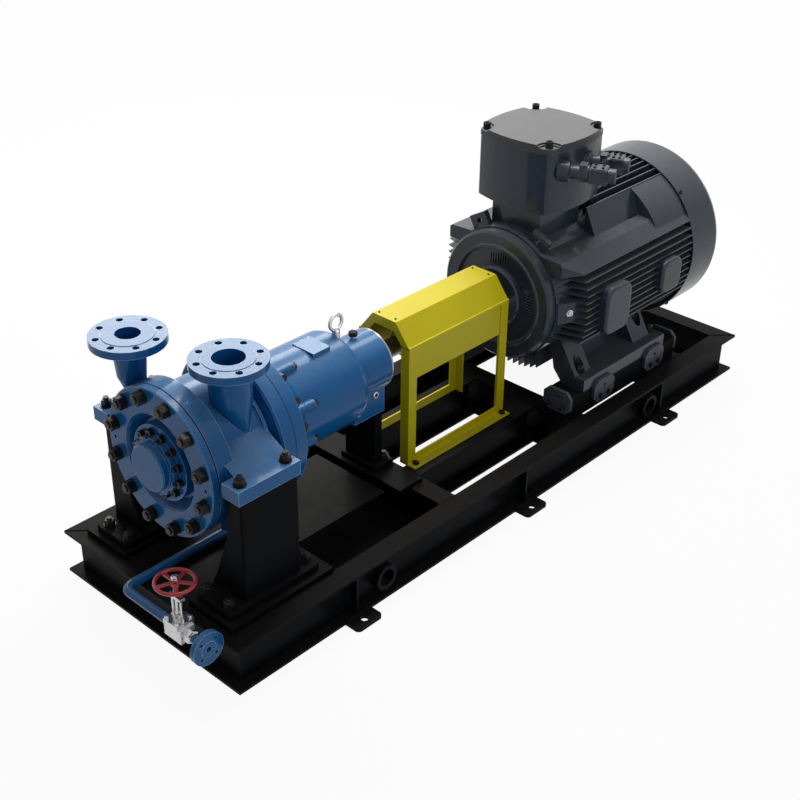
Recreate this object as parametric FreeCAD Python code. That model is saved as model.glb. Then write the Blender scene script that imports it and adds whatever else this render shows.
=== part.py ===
import FreeCAD, Part
import math
import os

# Magnetic drive process pump with its motor on a welded skid, in millimetres.
# X runs along the shaft from the pump to the motor, Z is up, and the side with
# the drain valve is at -Y. The origin is on the skid's underside, midway
# between its middle pair of anchor holes. Lengths along the skid are given
# from its pump end, and local() turns them into the part's frame.

os.makedirs("parts", exist_ok=True)

V = FreeCAD.Vector
X_AXIS = V(1, 0, 0)
Y_AXIS = V(0, 1, 0)
Z_AXIS = V(0, 0, 1)

# Skid of I-beams
SKID_LENGTH = 2685.0
SKID_WIDTH = 845.0
BEAM_HEIGHT = 160.0
BEAM_FLANGE = 74.0
BEAM_FLANGE_T = 9.5
BEAM_WEB_T = 6.3
PUMP_CROSS_X = 950.0
MOTOR_CROSS_X = 1672.0
REAR_CROSS_FROM_END = 370.0
REAR_CROSS_X = SKID_LENGTH - REAR_CROSS_FROM_END
INNER_BEAM_Y = 146.0
DECK_T = 8.0
DECK_Y = 165.0
DECK_END_GAP = 75.0
FLOOR_Z = 10.0

# Anchor lugs, their gussets and the lifting pipes on the side beams
LUG_MIDDLE_X = 1324.0
LUG_SPACING = 837.0
LUG_LENGTH = 110.0
LUG_OUT = 58.0
LUG_T = 12.0
LUG_HOLE_R = 13.0
LUG_CORNER_R = 16.0
GUSSET_T = 8.0
LIFT_X = (620.0, 2085.0)
LIFT_R = 44.0
LIFT_BORE_R = 30.0

# Shaft line
SHAFT_Z = 570.0
SHAFT_R = 32.0
RUNNING_GAP = 0.05

# Pump casing and front cover
COVER_X = 95.0
COVER_T = 27.0
COVER_R = 241.0
RECESS_R = 158.0
RECESS_FLOOR_R = 130.0
RECESS_DEPTH = 45.0
SPIGOT_LENGTH = 40.0
SPIGOT_GAP = 0.3
STUD_CIRCLE_R = 210.0
STUD_COUNT = 12
STUD_R = 12.0
STUD_OUT = 33.0
NUT_ACROSS = 36.0
NUT_HEIGHT = 27.0
JACK_HOLE_R = 7.0
CASING_END_X = 414.0
FRONT_FLANGE_T = 62.0
REAR_FLANGE_T = 50.0
REAR_FLANGE_R = 246.0
BARREL_R = 205.0
BARREL_RIB_H = 8.0
BARREL_RIB_W = 8.0
CAVITY_BACK = 80.0
FOOT_X0 = 110.0
FOOT_X1 = 344.0
FOOT_Y = 337.0
FOOT_INNER_Y = 275.0
FOOT_T = 47.0
FOOT_WEB_RISE = 51.0
FOOT_WEB_IN = 97.0

# Bearing cap in the recess of the cover
CAP_X = 50.0
CAP_R = 76.0
CAP_CHAMFER = 4.0
CAP_HUB_X = 74.0
CAP_HUB_R = 92.0
CAP_FLANGE_X = 98.0
CAP_FLANGE_R = 122.0
CAP_BOLT_CIRCLE_R = 98.0
CAP_BOLTS = 12
CAP_POCKET_R = 14.0

# Nozzles
NOZZLE_TOP_Z = 893.5
NOZZLE_FLANGE_R = 117.5
NOZZLE_FLANGE_T = 26.0
NOZZLE_RAISED_R = 80.0
NOZZLE_RAISED_H = 2.0
NOZZLE_PCD = 190.0
NOZZLE_HOLE_R = 11.0
NOZZLE_HOLES = 8
NOZZLE_BORE_DEPTH = 130.0
FAR_NOZZLE_X = 173.0
FAR_NOZZLE_Y = 206.0
FAR_BORE_R = 39.0
FAR_NECK_R = 54.0
FAR_KNEE_R = 45.0
NEAR_NOZZLE_X = 284.0
NEAR_NOZZLE_Y = -115.0
NEAR_BORE_R = 50.0
NEAR_NECK_R = 66.0
NEAR_KNEE_R = 64.0
NECK_KNEE_Z = 755.0
NECK_TIP_Z = 648.0
NECK_TIP_R = 14.0

# Housing of the magnetic drive
HOUSING_FLANGE_T = 46.0
HOUSING_R = 164.0
HOUSING_END_X = 822.0
HOUSING_TAPER = 70.0
HOUSING_ROUND = 34.0
POCKET_R = 21.0
POCKET_COUNT = 16
BOSS_COUNT = 8
BOSS_R = 15.0
BOSS_END_X = 567.0
NECK_R = 105.0
NECK_END_X = 980.0
NECK_CHAMFER = 6.0
SEAL_DEPTH = 80.0
HOUSING_FOOT_X1 = 961.0
HOUSING_FOOT_Y = 80.0
HOUSING_FOOT_Z = 407.0
PAD_X0 = 656.0
PAD_X1 = 728.0
PAD_Y0 = -68.0
PAD_Y1 = 28.0
PAD_RISE = 3.0
EYE_X = 798.0
EYE_Y = -22.0
EYE_RING_R = 26.0
EYE_WIRE_R = 6.0
EYE_BASE_R = 13.0

# Shafts and coupling
HUB_R = 62.0
HUB_NECK_R = 46.0
HUB_LENGTH = 70.0
HUB_FLANGE_T = 20.0
SPACER_R = 42.0
PUMP_HUB_X = 1120.0
MOTOR_HUB_X = 1395.0

# Coupling guard
GUARD_X0 = 1042.0
GUARD_X1 = 1557.0
HOOD_TOP_Y = 53.0
HOOD_TOP_Z = 697.0
HOOD_SIDE_Y = 112.0
LEDGE_Z = 622.0
LEDGE_W = 6.0
LEDGE_DROP = 10.0
SHEET_T = 3.0
HOOD_OPENING_INSET = 35.0
PANEL_BOTTOM_Z = 493.0
ANGLE_W = 38.0
ANGLE_T = 5.0
RAIL_UP = 34.0

# Pedestals of the casing and of the drive housing
PED_PAD_T = 20.0
PED_PLATE_T = 25.0
PED_PAD_X0 = 42.0
PED_PAD_X1 = 450.0
PED_PAD_Y0 = 156.0
PED_PAD_Y1 = 354.0
PED_PLATE_X0 = 60.0
PED_PLATE_X1 = 420.0
PED_PLATE_Y0 = 168.0
PED_PLATE_Y1 = 332.0
PED_PLATE_CORNER_R = 20.0
PED_X0 = 130.0
PED_X1 = 350.0
PED_Y0 = 253.0
PED_Y1 = 318.0
PED_CORNER_R = 8.0
FLARE_T = 12.0
FLARE_TOP_Z = 430.0
SUPPORT_X0 = 897.0
SUPPORT_X1 = 1010.0
SUPPORT_Y = 215.0
SUPPORT_PAD_T = 15.0
REAR_PLATE_T = 20.0
REAR_PLATE_X0 = 915.0
REAR_PLATE_X1 = 1005.0
REAR_PLATE_Y = 82.0
REAR_COLUMN_X0 = 925.0
REAR_COLUMN_T = 35.0
REAR_COLUMN_Y = 70.0

# Motor
MOTOR_FOOT_Z = 255.0
MOTOR_FOOT_T = 45.0
MOTOR_FOOT_Y = 342.0
MOTOR_FOOT_INNER_Y = 239.0
MOTOR_FOOT_X0 = 1742.0
MOTOR_FOOT_X1 = 2259.0
FOOT_WALL_Y = 222.0
FOOT_WALL_T = 22.0
FOOT_WALL_LEAN = 22.0
FOOT_WALL_RISE = 110.0
FOOT_GUSSET_Y = 300.0
FOOT_GUSSET_TOP_Y = 214.0
FOOT_GUSSET_RISE = 140.0
FOOT_GUSSET_X = ((1742.0, 1835.0), (2110.0, 2214.0))
FOOT_BOLT_PLACES = ((1784.0, 283.0), (2178.0, 252.0))
FOOT_POCKET_R = 24.0
BEARER_X0 = 1677.0
BEARER_X1 = 2340.0
BEARER_Y = 228.0
JACK_PLATE_T = 12.0
JACK_PLATE_W = 123.0
JACK_PLATE_CORNER = 22.0
JACK_PLATE_Z0 = 182.0
JACK_PLATE_Z1 = 272.0
JACK_PLATE_X = (1860.0, 2188.0)
JACK_PLATE_Y = 281.0
JACK_SCREW_Z = 242.0
JACK_SCREW_R = 8.0
SHIELD_X = 1628.0
SHIELD_R = 243.0
SHIELD_RING_R = 193.0
SHIELD_RIM_W = 8.0
SHIELD_HUB_R = 112.0
SHIELD_HUB_OUT = 10.0
SHIELD_RECESS = 12.0
SLOT_R0 = 120.0
SLOT_R1 = 162.0
SLOT_W = 5.0
SLOT_PITCH = 11.0
SLOTS_PER_GROUP = 8
SLOT_DEPTH = 8.0
FRAME_X0 = 1665.0
FRAME_R = 250.0
FIN_X0 = 1740.0
FIN_T = 5.0
FIN_PITCH = 27.0
SIDE_FIN_COUNT = 11
SIDE_FIN_TOP_Z = 714.0
SIDE_FIN_Y = 326.0
FIN_TIP_R = 334.0
UPRIGHT_FIN_COUNT = 12
BOTTOM_FIN_COUNT = 10
UPPER_FIN_X0 = 2000.0
SHOULDER_TOP_Z = 765.0
SHOULDER_WALL_Y = 195.0
SHOULDER_EDGE_Y = 250.0
SHOULDER_FRONT_Y = 258.0
SHOULDER_STEP_X = 2215.0
WALL_TOP_Y = 150.0
WALL_TOP_Z = 861.0
COWL_X0 = 2414.0
COWL_X1 = 2600.0
COWL_R = 334.0
COWL_T = 4.0
COWL_ROUND = 24.0
FRAME_END_LAP = 20.0
GRILLE_RINGS = 6
GRILLE_FIRST_R = 70.0
GRILLE_PITCH = 38.0
GRILLE_SLOT = 12.0
GRILLE_SPOKES = 6
GRILLE_SPOKE_W = 18.0

# Boxes and lugs on the motor
BOX_X0 = 1690.0
BOX_X1 = 1996.0
BOX_Y = 153.0
BOX_BULGE = 27.0
BOX_CORNER_R = 18.0
BOX_Z0 = 908.0
BOX_Z1 = 1158.0
LID_T = 30.0
LID_LAP = 1.0
LID_POCKET_R = 47.0
LID_POCKET_DEPTH = 6.0
LID_SPOT_R = 38.0
LID_SPOT_DEPTH = 11.0
LID_SCREW_INSET = 15.0
LID_SCREW_R = 13.0
LID_SCREW_HEIGHT = 23.0
LID_SOCKET_ACROSS = 14.0
NECK_BOX_X0 = 1722.0
NECK_BOX_X1 = 1950.0
NECK_BOX_Y = 109.0
NECK_BOX_BULGE = 5.0
GLAND_Z = 1060.0
GLAND_X = (1760.0, 1891.0)
GLAND_ANGLE = -64.0
SECOND_GLAND_SCALE = 0.85
SIDE_BOX_ROUND = 12.0
SIDE_BOX_CORNER_R = 42.0
LARGE_BOX_X = (1820.0, 1972.0)
LARGE_BOX_Z = (452.0, 640.0)
LARGE_BOX_Y = 360.0
SMALL_BOX_X = (2188.0, 2318.0)
SMALL_BOX_Z = (488.0, 622.0)
SMALL_BOX_Y = 350.0
EARTH_BOSS_Z0 = 526.0
EARTH_BOSS_Z1 = 604.0
LUG_ANGLE = 30.0
LUG_RADIUS = 271.0
LIFT_LUG_HALF = 38.0
LIFT_LUG_OUT = 28.0
LIFT_LUG_T = 22.0
LIFT_LUG_HOLE_R = 12.0

# Drain line
DRAIN_X = -56.0
DRAIN_Z = 178.0
DRAIN_Y = 28.0
DRAIN_RISER_X = 345.0
PIPE_R = 15.0
BEND_R = 32.0
VALVE_Y = -235.0
VALVE_HALF = 38.0
VALVE_BODY_R = 26.0
BONNET_T = 12.0
YOKE_Z = 290.0
YOKE_HALF = 19.0
YOKE_R = 5.0
WHEEL_Z = 348.0
WHEEL_R = 58.0
WHEEL_RIM_R = 6.0
WHEEL_SPOKES = 5
DRAIN_FLANGE_Y = -367.0
DRAIN_FLANGE_R = 55.0
DRAIN_FLANGE_T = 18.0
DRAIN_PCD = 75.0
DRAIN_HOLE_R = 7.0
DRAIN_HOLES = 4
DRAIN_BORE_R = 10.0


def local(x, y=0.0, z=0.0):
    """Point whose length along the skid is measured from its pump end."""
    return V(x - LUG_MIDDLE_X, y, z)


def box(x0, x1, y0, y1, z0, z1):
    return Part.makeBox(x1 - x0, y1 - y0, z1 - z0, local(x0, y0, z0))


def cylinder_x(x0, x1, r, y=0.0, z=SHAFT_Z):
    return Part.makeCylinder(r, x1 - x0, local(x0, y, z), X_AXIS)


def cylinder_y(y0, y1, r, x, z):
    return Part.makeCylinder(r, y1 - y0, local(x, y0, z), Y_AXIS)


def cylinder_z(z0, z1, r, x, y):
    return Part.makeCylinder(r, z1 - z0, local(x, y, z0), Z_AXIS)


def face_of(points):
    return Part.Face(Part.makePolygon(points + [points[0]]))


def prism_x(outline, x0, x1):
    """Outline of (y, z) points, drawn out along the shaft."""
    return face_of([local(x0, y, z) for y, z in outline]).extrude(V(x1 - x0, 0, 0))


def prism_y(outline, y0, y1):
    """Outline of (x, z) points, drawn out across the skid."""
    return face_of([local(x, y0, z) for x, z in outline]).extrude(V(0, y1 - y0, 0))


def prism_z(outline, z0, z1):
    """Outline of (x, y) points, drawn upwards."""
    return face_of([local(x, y, z0) for x, y in outline]).extrude(V(0, 0, z1 - z0))


def revolved_x(profile):
    """Solid turned about the shaft line from (x, radius) points."""
    face = face_of([local(x, 0, SHAFT_Z + r) for x, r in profile])
    return face.revolve(local(0, 0, SHAFT_Z), X_AXIS, 360)


def around_shaft(shape, count, first):
    """Copies of a shape turned about the shaft line, with equal steps."""
    copies = []
    for i in range(count):
        turned = shape.copy()
        turned.rotate(local(0, 0, SHAFT_Z), X_AXIS, first + i * 360 / count)
        copies.append(turned)
    return copies


def hexagon_x(x0, x1, across, y, z):
    """Hexagonal bar along the shaft, measured across its flats."""
    r = across / math.sqrt(3)
    corners = [(y + r * math.cos(math.radians(60 * i)), z + r * math.sin(math.radians(60 * i)))
               for i in range(6)]
    return prism_x(corners, x0, x1)


def union(first, others):
    shape = first.fuse(list(others)) if others else first
    return shape.removeSplitter()


def mirrored(shape):
    return shape.mirror(V(0, 0, 0), Y_AXIS)


def upright_edges(shape, where):
    """Vertical edges whose place passes a test."""
    found = []
    for edge in shape.Edges:
        a = edge.Vertexes[0].Point
        b = edge.Vertexes[-1].Point
        if abs(a.x - b.x) < 1e-6 and abs(a.y - b.y) < 1e-6 and where(a):
            found.append(edge)
    return found


def save(name, shape):
    shape.exportStep("parts/" + name + ".step")


# Skid: mitred outer frame
half_width = SKID_WIDTH / 2
side_y = half_width - BEAM_FLANGE / 2
inner_edge = half_width - BEAM_FLANGE
web_top = BEAM_HEIGHT - BEAM_FLANGE_T


def beam_section():
    """I-beam outline, centred on its web and standing on the floor."""
    half = BEAM_FLANGE / 2
    web = BEAM_WEB_T / 2
    return [
        (-half, 0), (half, 0), (half, BEAM_FLANGE_T), (web, BEAM_FLANGE_T),
        (web, web_top), (half, web_top), (half, BEAM_HEIGHT), (-half, BEAM_HEIGHT),
        (-half, web_top), (-web, web_top), (-web, BEAM_FLANGE_T), (-half, BEAM_FLANGE_T),
    ]


def beam_along_x(x0, x1, y):
    return prism_x([(y + a, z) for a, z in beam_section()], x0, x1)


def beam_along_y(y0, y1, x):
    return prism_y([(x + a, z) for a, z in beam_section()], y0, y1)


def mitre(x_corner, y_corner, sx, sy, keep_side_beam):
    """Wedge that a frame corner takes off one of its two beams."""
    far = (x_corner + sx * BEAM_FLANGE, y_corner + sy * BEAM_FLANGE)
    if keep_side_beam:
        third = (x_corner, y_corner + sy * BEAM_FLANGE)
    else:
        third = (x_corner + sx * BEAM_FLANGE, y_corner)
    return prism_z([(x_corner, y_corner), far, third], -1, BEAM_HEIGHT + 1)


def anchor_lug(x):
    y0 = -half_width
    plate = box(x - LUG_LENGTH / 2, x + LUG_LENGTH / 2, y0 - LUG_OUT, y0, 0, LUG_T)
    plate = plate.makeFillet(LUG_CORNER_R, upright_edges(plate, lambda p: p.y < y0 - 1))
    return plate.cut(cylinder_z(-1, LUG_T + 1, LUG_HOLE_R, x, y0 - LUG_OUT / 2))


lug_places = [LUG_MIDDLE_X + i * LUG_SPACING for i in (-1, 0, 1)]
side_beam = beam_along_x(0, SKID_LENGTH, -side_y)
side_beam = side_beam.cut([mitre(0, -half_width, 1, 1, True), mitre(SKID_LENGTH, -half_width, -1, 1, True)])
gussets = [box(x - GUSSET_T / 2, x + GUSSET_T / 2, -half_width, -side_y - BEAM_WEB_T / 2, BEAM_FLANGE_T, web_top)
           for x in lug_places]
lift_pipes = [cylinder_y(-half_width, -inner_edge, LIFT_R, x, BEAM_HEIGHT / 2) for x in LIFT_X]
lift_bores = [cylinder_y(-half_width - 1, -inner_edge + 1, LIFT_BORE_R, x, BEAM_HEIGHT / 2) for x in LIFT_X]
side_beam = union(side_beam, [anchor_lug(x) for x in lug_places] + gussets + lift_pipes).cut(lift_bores)
save("side_beam_near", side_beam)
save("side_beam_far", mirrored(side_beam))

for name, x, corner_x, sx in (("end_beam_pump", BEAM_FLANGE / 2, 0, 1),
                              ("end_beam_motor", SKID_LENGTH - BEAM_FLANGE / 2, SKID_LENGTH, -1)):
    end_beam = beam_along_y(-half_width, half_width, x)
    save(name, end_beam.cut([mitre(corner_x, -half_width, sx, 1, False), mitre(corner_x, half_width, sx, -1, False)]))

# Cross beams run into the side beams' channels and stop at their webs
for name, x in (("cross_beam_pump", PUMP_CROSS_X), ("cross_beam_motor", MOTOR_CROSS_X),
                ("cross_beam_rear", REAR_CROSS_X)):
    reach = side_y - BEAM_WEB_T / 2
    cross_beam = beam_along_y(-reach, reach, x + BEAM_FLANGE / 2)
    notches = []
    for y0 in (-half_width, inner_edge):
        for z0, z1 in ((0, BEAM_FLANGE_T), (web_top, BEAM_HEIGHT)):
            notches.append(box(x, x + BEAM_FLANGE, y0, y0 + BEAM_FLANGE, z0, z1))
    save(name, cross_beam.cut(notches))

for name, sign in (("inner_beam_near", -1), ("inner_beam_far", 1)):
    save(name, beam_along_x(PUMP_CROSS_X + BEAM_FLANGE, MOTOR_CROSS_X, sign * INNER_BEAM_Y))

# Plates between the beams at the pump end
save("deck_plate", box(BEAM_FLANGE, PUMP_CROSS_X - DECK_END_GAP, -DECK_Y, DECK_Y, BEAM_HEIGHT - DECK_T, BEAM_HEIGHT))
save("floor_plate", box(BEAM_FLANGE, PUMP_CROSS_X, -inner_edge, inner_edge, FLOOR_Z, FLOOR_Z + DECK_T))
save("support_plate", box(SUPPORT_X0, SUPPORT_X1, -SUPPORT_Y, SUPPORT_Y, BEAM_HEIGHT, BEAM_HEIGHT + SUPPORT_PAD_T))

# Pedestals: a pad, a base plate and a column whose end plates flare inwards
pad_top = BEAM_HEIGHT + PED_PAD_T
plate_top = pad_top + PED_PLATE_T
pad = box(PED_PAD_X0, PED_PAD_X1, -PED_PAD_Y1, -PED_PAD_Y0, BEAM_HEIGHT, pad_top)
base = box(PED_PLATE_X0, PED_PLATE_X1, -PED_PLATE_Y1, -PED_PLATE_Y0, pad_top, plate_top)
base = base.makeFillet(PED_PLATE_CORNER_R, upright_edges(base, lambda p: True))
column = box(PED_X0, PED_X1, -PED_Y1, -PED_Y0, plate_top, SHAFT_Z)
column = column.makeFillet(PED_CORNER_R, upright_edges(column, lambda p: p.y < -PED_Y0 - 1))
flare_rise = FLARE_TOP_Z - plate_top
flare_run = PED_Y0 - PED_PLATE_Y0
flare_outline = [
    (-PED_Y0 - FLARE_T, plate_top), (-PED_PLATE_Y0, plate_top),
    (-PED_PLATE_Y0 - 0.25 * flare_run, plate_top + 0.2 * flare_rise),
    (-PED_PLATE_Y0 - 0.6 * flare_run, plate_top + 0.55 * flare_rise),
    (-PED_Y0, FLARE_TOP_Z), (-PED_Y0 - FLARE_T, FLARE_TOP_Z)]
flares = [prism_x(flare_outline, x, x + FLARE_T) for x in (PED_X0, PED_X1 - FLARE_T)]
pedestal = union(pad, [base, column] + flares)
save("pedestal_near", pedestal)
save("pedestal_far", mirrored(pedestal))

# Casing: a barrel between two flanges, with feet at the shaft's height
front = COVER_X + COVER_T
barrel_x0 = front + FRONT_FLANGE_T
rear_x0 = CASING_END_X - REAR_FLANGE_T
rib_x0 = rear_x0 - 3 * BARREL_RIB_W
barrel = revolved_x([
    (front, 0), (front, COVER_R - 3), (front + 3, COVER_R), (barrel_x0, COVER_R),
    (barrel_x0, BARREL_R + 14), (barrel_x0 + 6, BARREL_R + 5), (barrel_x0 + 16, BARREL_R),
    (rib_x0, BARREL_R), (rib_x0, BARREL_R + BARREL_RIB_H),
    (rib_x0 + BARREL_RIB_W, BARREL_R + BARREL_RIB_H), (rib_x0 + BARREL_RIB_W, BARREL_R),
    (rear_x0 - BARREL_RIB_W, BARREL_R), (rear_x0, REAR_FLANGE_R - 6), (rear_x0 + 6, REAR_FLANGE_R),
    (CASING_END_X, REAR_FLANGE_R), (CASING_END_X, 0)])

foot_block = box(FOOT_X0, FOOT_X1, -FOOT_Y, -FOOT_INNER_Y + 10, SHAFT_Z, SHAFT_Z + FOOT_T)
foot_web = prism_x([
    (-FOOT_INNER_Y, SHAFT_Z), (-FOOT_INNER_Y, SHAFT_Z + FOOT_T),
    (-FOOT_INNER_Y + FOOT_WEB_IN, SHAFT_Z + FOOT_T + FOOT_WEB_RISE),
    (-BARREL_R / 2, SHAFT_Z + FOOT_T + FOOT_WEB_RISE), (-BARREL_R / 2, SHAFT_Z)],
    barrel_x0 - FRONT_FLANGE_T / 2, FOOT_X1)
casing_foot = union(foot_block, [foot_web])


def circle(r, x, y, z):
    return Part.Wire(Part.makeCircle(r, local(x, y, z), Z_AXIS))


def nozzle(x, y, neck_r, knee_r):
    """Flange with a raised face on a neck that tapers into the barrel's side."""
    top = NOZZLE_TOP_Z - NOZZLE_RAISED_H
    flange = cylinder_z(top - NOZZLE_FLANGE_T, top, NOZZLE_FLANGE_R, x, y)
    face = cylinder_z(top, NOZZLE_TOP_Z, NOZZLE_RAISED_R, x, y)
    tip_y = math.copysign(abs(NEAR_NOZZLE_Y) + NEAR_NECK_R - NECK_TIP_R, y)
    neck = Part.makeLoft([circle(neck_r, x, y, top - NOZZLE_FLANGE_T), circle(knee_r, x, y, NECK_KNEE_Z),
                          circle(NECK_TIP_R, x, tip_y, NECK_TIP_Z)], True, True)
    return union(flange, [face, neck])


def nozzle_cuts(x, y, bore_r):
    cuts = [cylinder_z(NOZZLE_TOP_Z - NOZZLE_BORE_DEPTH, NOZZLE_TOP_Z + 1, bore_r, x, y)]
    below = NOZZLE_TOP_Z - NOZZLE_RAISED_H - NOZZLE_FLANGE_T - 5
    for i in range(NOZZLE_HOLES):
        a = math.radians((i + 0.5) * 360 / NOZZLE_HOLES)
        cuts.append(cylinder_z(below, NOZZLE_TOP_Z + 1, NOZZLE_HOLE_R,
                               x + NOZZLE_PCD / 2 * math.cos(a), y + NOZZLE_PCD / 2 * math.sin(a)))
    return cuts


cavity_r = RECESS_R + SPIGOT_GAP
casing = union(barrel, [casing_foot, mirrored(casing_foot),
                        nozzle(FAR_NOZZLE_X, FAR_NOZZLE_Y, FAR_NECK_R, FAR_KNEE_R),
                        nozzle(NEAR_NOZZLE_X, NEAR_NOZZLE_Y, NEAR_NECK_R, NEAR_KNEE_R)])
casing = casing.cut([cylinder_x(front - 1, CASING_END_X - CAVITY_BACK, cavity_r)]
                    + nozzle_cuts(FAR_NOZZLE_X, FAR_NOZZLE_Y, FAR_BORE_R)
                    + nozzle_cuts(NEAR_NOZZLE_X, NEAR_NOZZLE_Y, NEAR_BORE_R))
save("casing", casing)

# Front cover with a recess, and the bearing cap bolted to the recess's floor
recess_x = COVER_X + RECESS_DEPTH
cover = revolved_x([
    (COVER_X, RECESS_R), (COVER_X, COVER_R - 3), (COVER_X + 3, COVER_R), (front - 3, COVER_R),
    (front, COVER_R - 3), (front, RECESS_R), (front + SPIGOT_LENGTH, RECESS_R), (front + SPIGOT_LENGTH, 0),
    (recess_x, 0), (recess_x, RECESS_FLOOR_R), (recess_x - 12, RECESS_FLOOR_R + 8), (COVER_X + 8, RECESS_R - 6)])
jack_holes = [cylinder_x(COVER_X - 1, front + 1, JACK_HOLE_R, y) for y in (-STUD_CIRCLE_R, STUD_CIRCLE_R)]
save("front_cover", cover.cut(jack_holes))

cap = revolved_x([
    (CAP_X, 0), (CAP_X, CAP_R - CAP_CHAMFER), (CAP_X + CAP_CHAMFER, CAP_R), (CAP_HUB_X, CAP_R),
    (CAP_HUB_X, CAP_HUB_R), (CAP_FLANGE_X, CAP_HUB_R), (CAP_FLANGE_X, CAP_FLANGE_R),
    (recess_x, CAP_FLANGE_R), (recess_x, 0)])
cap_pocket = cylinder_x(CAP_HUB_X - 1, CAP_FLANGE_X, CAP_POCKET_R, CAP_BOLT_CIRCLE_R)
save("bearing_cap", cap.cut(around_shaft(cap_pocket, CAP_BOLTS, 180 / CAP_BOLTS)))

# Studs and nuts of the front cover
nuts = []
for i in range(STUD_COUNT):
    a = math.radians((i + 0.5) * 360 / STUD_COUNT)
    y = STUD_CIRCLE_R * math.sin(a)
    z = SHAFT_Z + STUD_CIRCLE_R * math.cos(a)
    nuts.append(hexagon_x(COVER_X - NUT_HEIGHT, COVER_X, NUT_ACROSS, y, z).fuse(
        cylinder_x(COVER_X - STUD_OUT, COVER_X, STUD_R, y, z)).removeSplitter())
save("cover_nuts", Part.makeCompound(nuts))

# Drive housing: flange, taper with bolt pockets, bosses, body, neck and foot
flange_end = CASING_END_X + HOUSING_FLANGE_T
housing = revolved_x([
    (CASING_END_X, 0), (CASING_END_X, REAR_FLANGE_R), (flange_end - 4, REAR_FLANGE_R),
    (flange_end + 0.25 * HOUSING_TAPER, REAR_FLANGE_R - 30), (flange_end + 0.55 * HOUSING_TAPER, HOUSING_R + 16),
    (flange_end + HOUSING_TAPER, HOUSING_R), (HOUSING_END_X - HOUSING_ROUND, HOUSING_R),
    (HOUSING_END_X - 0.55 * HOUSING_ROUND, HOUSING_R - 6), (HOUSING_END_X - 0.2 * HOUSING_ROUND, HOUSING_R - 20),
    (HOUSING_END_X, NECK_R + 16), (HOUSING_END_X + 8, NECK_R + 5), (HOUSING_END_X + 20, NECK_R),
    (NECK_END_X - NECK_CHAMFER, NECK_R), (NECK_END_X, NECK_R - NECK_CHAMFER),
    (NECK_END_X, SHAFT_R + RUNNING_GAP), (NECK_END_X - SEAL_DEPTH, SHAFT_R + RUNNING_GAP),
    (NECK_END_X - SEAL_DEPTH, 0)])
pocket = cylinder_x(flange_end, flange_end + HOUSING_TAPER + 1, POCKET_R, STUD_CIRCLE_R)
housing = housing.cut(around_shaft(pocket, POCKET_COUNT, 180 / POCKET_COUNT))
boss = cylinder_x(flange_end - 10, BOSS_END_X, BOSS_R, HOUSING_R + 5)
housing_foot = box(HOUSING_END_X, HOUSING_FOOT_X1, -HOUSING_FOOT_Y, HOUSING_FOOT_Y, HOUSING_FOOT_Z,
                   SHAFT_Z - SHAFT_R - 8)
housing = union(housing, around_shaft(boss, BOSS_COUNT, 180 / BOSS_COUNT) + [housing_foot])
save("drive_housing", housing)

pad_top_z = SHAFT_Z + HOUSING_R + PAD_RISE
housing_pad = box(PAD_X0, PAD_X1, PAD_Y0, PAD_Y1, SHAFT_Z + HOUSING_R / 2, pad_top_z)
save("housing_pad", housing_pad.cut(cylinder_x(PAD_X0 - 1, PAD_X1 + 1, HOUSING_R)))

ring_z = SHAFT_Z + HOUSING_R + EYE_RING_R + 3 * EYE_WIRE_R
ring = Part.makeTorus(EYE_RING_R, EYE_WIRE_R, local(EYE_X, EYE_Y, ring_z), Y_AXIS)
eye_base = cylinder_z(SHAFT_Z, ring_z - EYE_RING_R, EYE_BASE_R, EYE_X, EYE_Y)
save("lifting_eye", union(ring, [eye_base.cut(housing)]))

support_top = BEAM_HEIGHT + SUPPORT_PAD_T
rear_plate = box(REAR_PLATE_X0, REAR_PLATE_X1, -REAR_PLATE_Y, REAR_PLATE_Y, support_top, support_top + REAR_PLATE_T)
rear_column = box(REAR_COLUMN_X0, REAR_COLUMN_X0 + REAR_COLUMN_T, -REAR_COLUMN_Y, REAR_COLUMN_Y,
                  support_top + REAR_PLATE_T, HOUSING_FOOT_Z)
save("rear_support", union(rear_plate, [rear_column]))

# Shafts and a flanged spacer coupling
spacer_x0 = PUMP_HUB_X + HUB_LENGTH
motor_hub_end = MOTOR_HUB_X + HUB_LENGTH
save("pump_shaft", cylinder_x(NECK_END_X - SEAL_DEPTH + 2, PUMP_HUB_X, SHAFT_R))
save("coupling_hub_pump", revolved_x([
    (PUMP_HUB_X, 0), (PUMP_HUB_X, HUB_NECK_R), (spacer_x0 - HUB_FLANGE_T, HUB_NECK_R),
    (spacer_x0 - HUB_FLANGE_T, HUB_R), (spacer_x0, HUB_R), (spacer_x0, 0)]))
save("coupling_spacer", revolved_x([
    (spacer_x0, 0), (spacer_x0, HUB_R), (spacer_x0 + HUB_FLANGE_T, HUB_R), (spacer_x0 + HUB_FLANGE_T, SPACER_R),
    (MOTOR_HUB_X - HUB_FLANGE_T, SPACER_R), (MOTOR_HUB_X - HUB_FLANGE_T, HUB_R), (MOTOR_HUB_X, HUB_R),
    (MOTOR_HUB_X, 0)]))
save("coupling_hub_motor", revolved_x([
    (MOTOR_HUB_X, 0), (MOTOR_HUB_X, HUB_R), (MOTOR_HUB_X + HUB_FLANGE_T, HUB_R),
    (MOTOR_HUB_X + HUB_FLANGE_T, HUB_NECK_R), (motor_hub_end, HUB_NECK_R), (motor_hub_end, 0)]))
save("motor_shaft", cylinder_x(motor_hub_end, FRAME_X0 - 1, SHAFT_R))

# Guard: folded hood with open end plates, on two side frames of angle
slope = math.atan2(HOOD_TOP_Z - LEDGE_Z, HOOD_SIDE_Y - HOOD_TOP_Y)
fold = math.tan(slope / 2)


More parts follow.
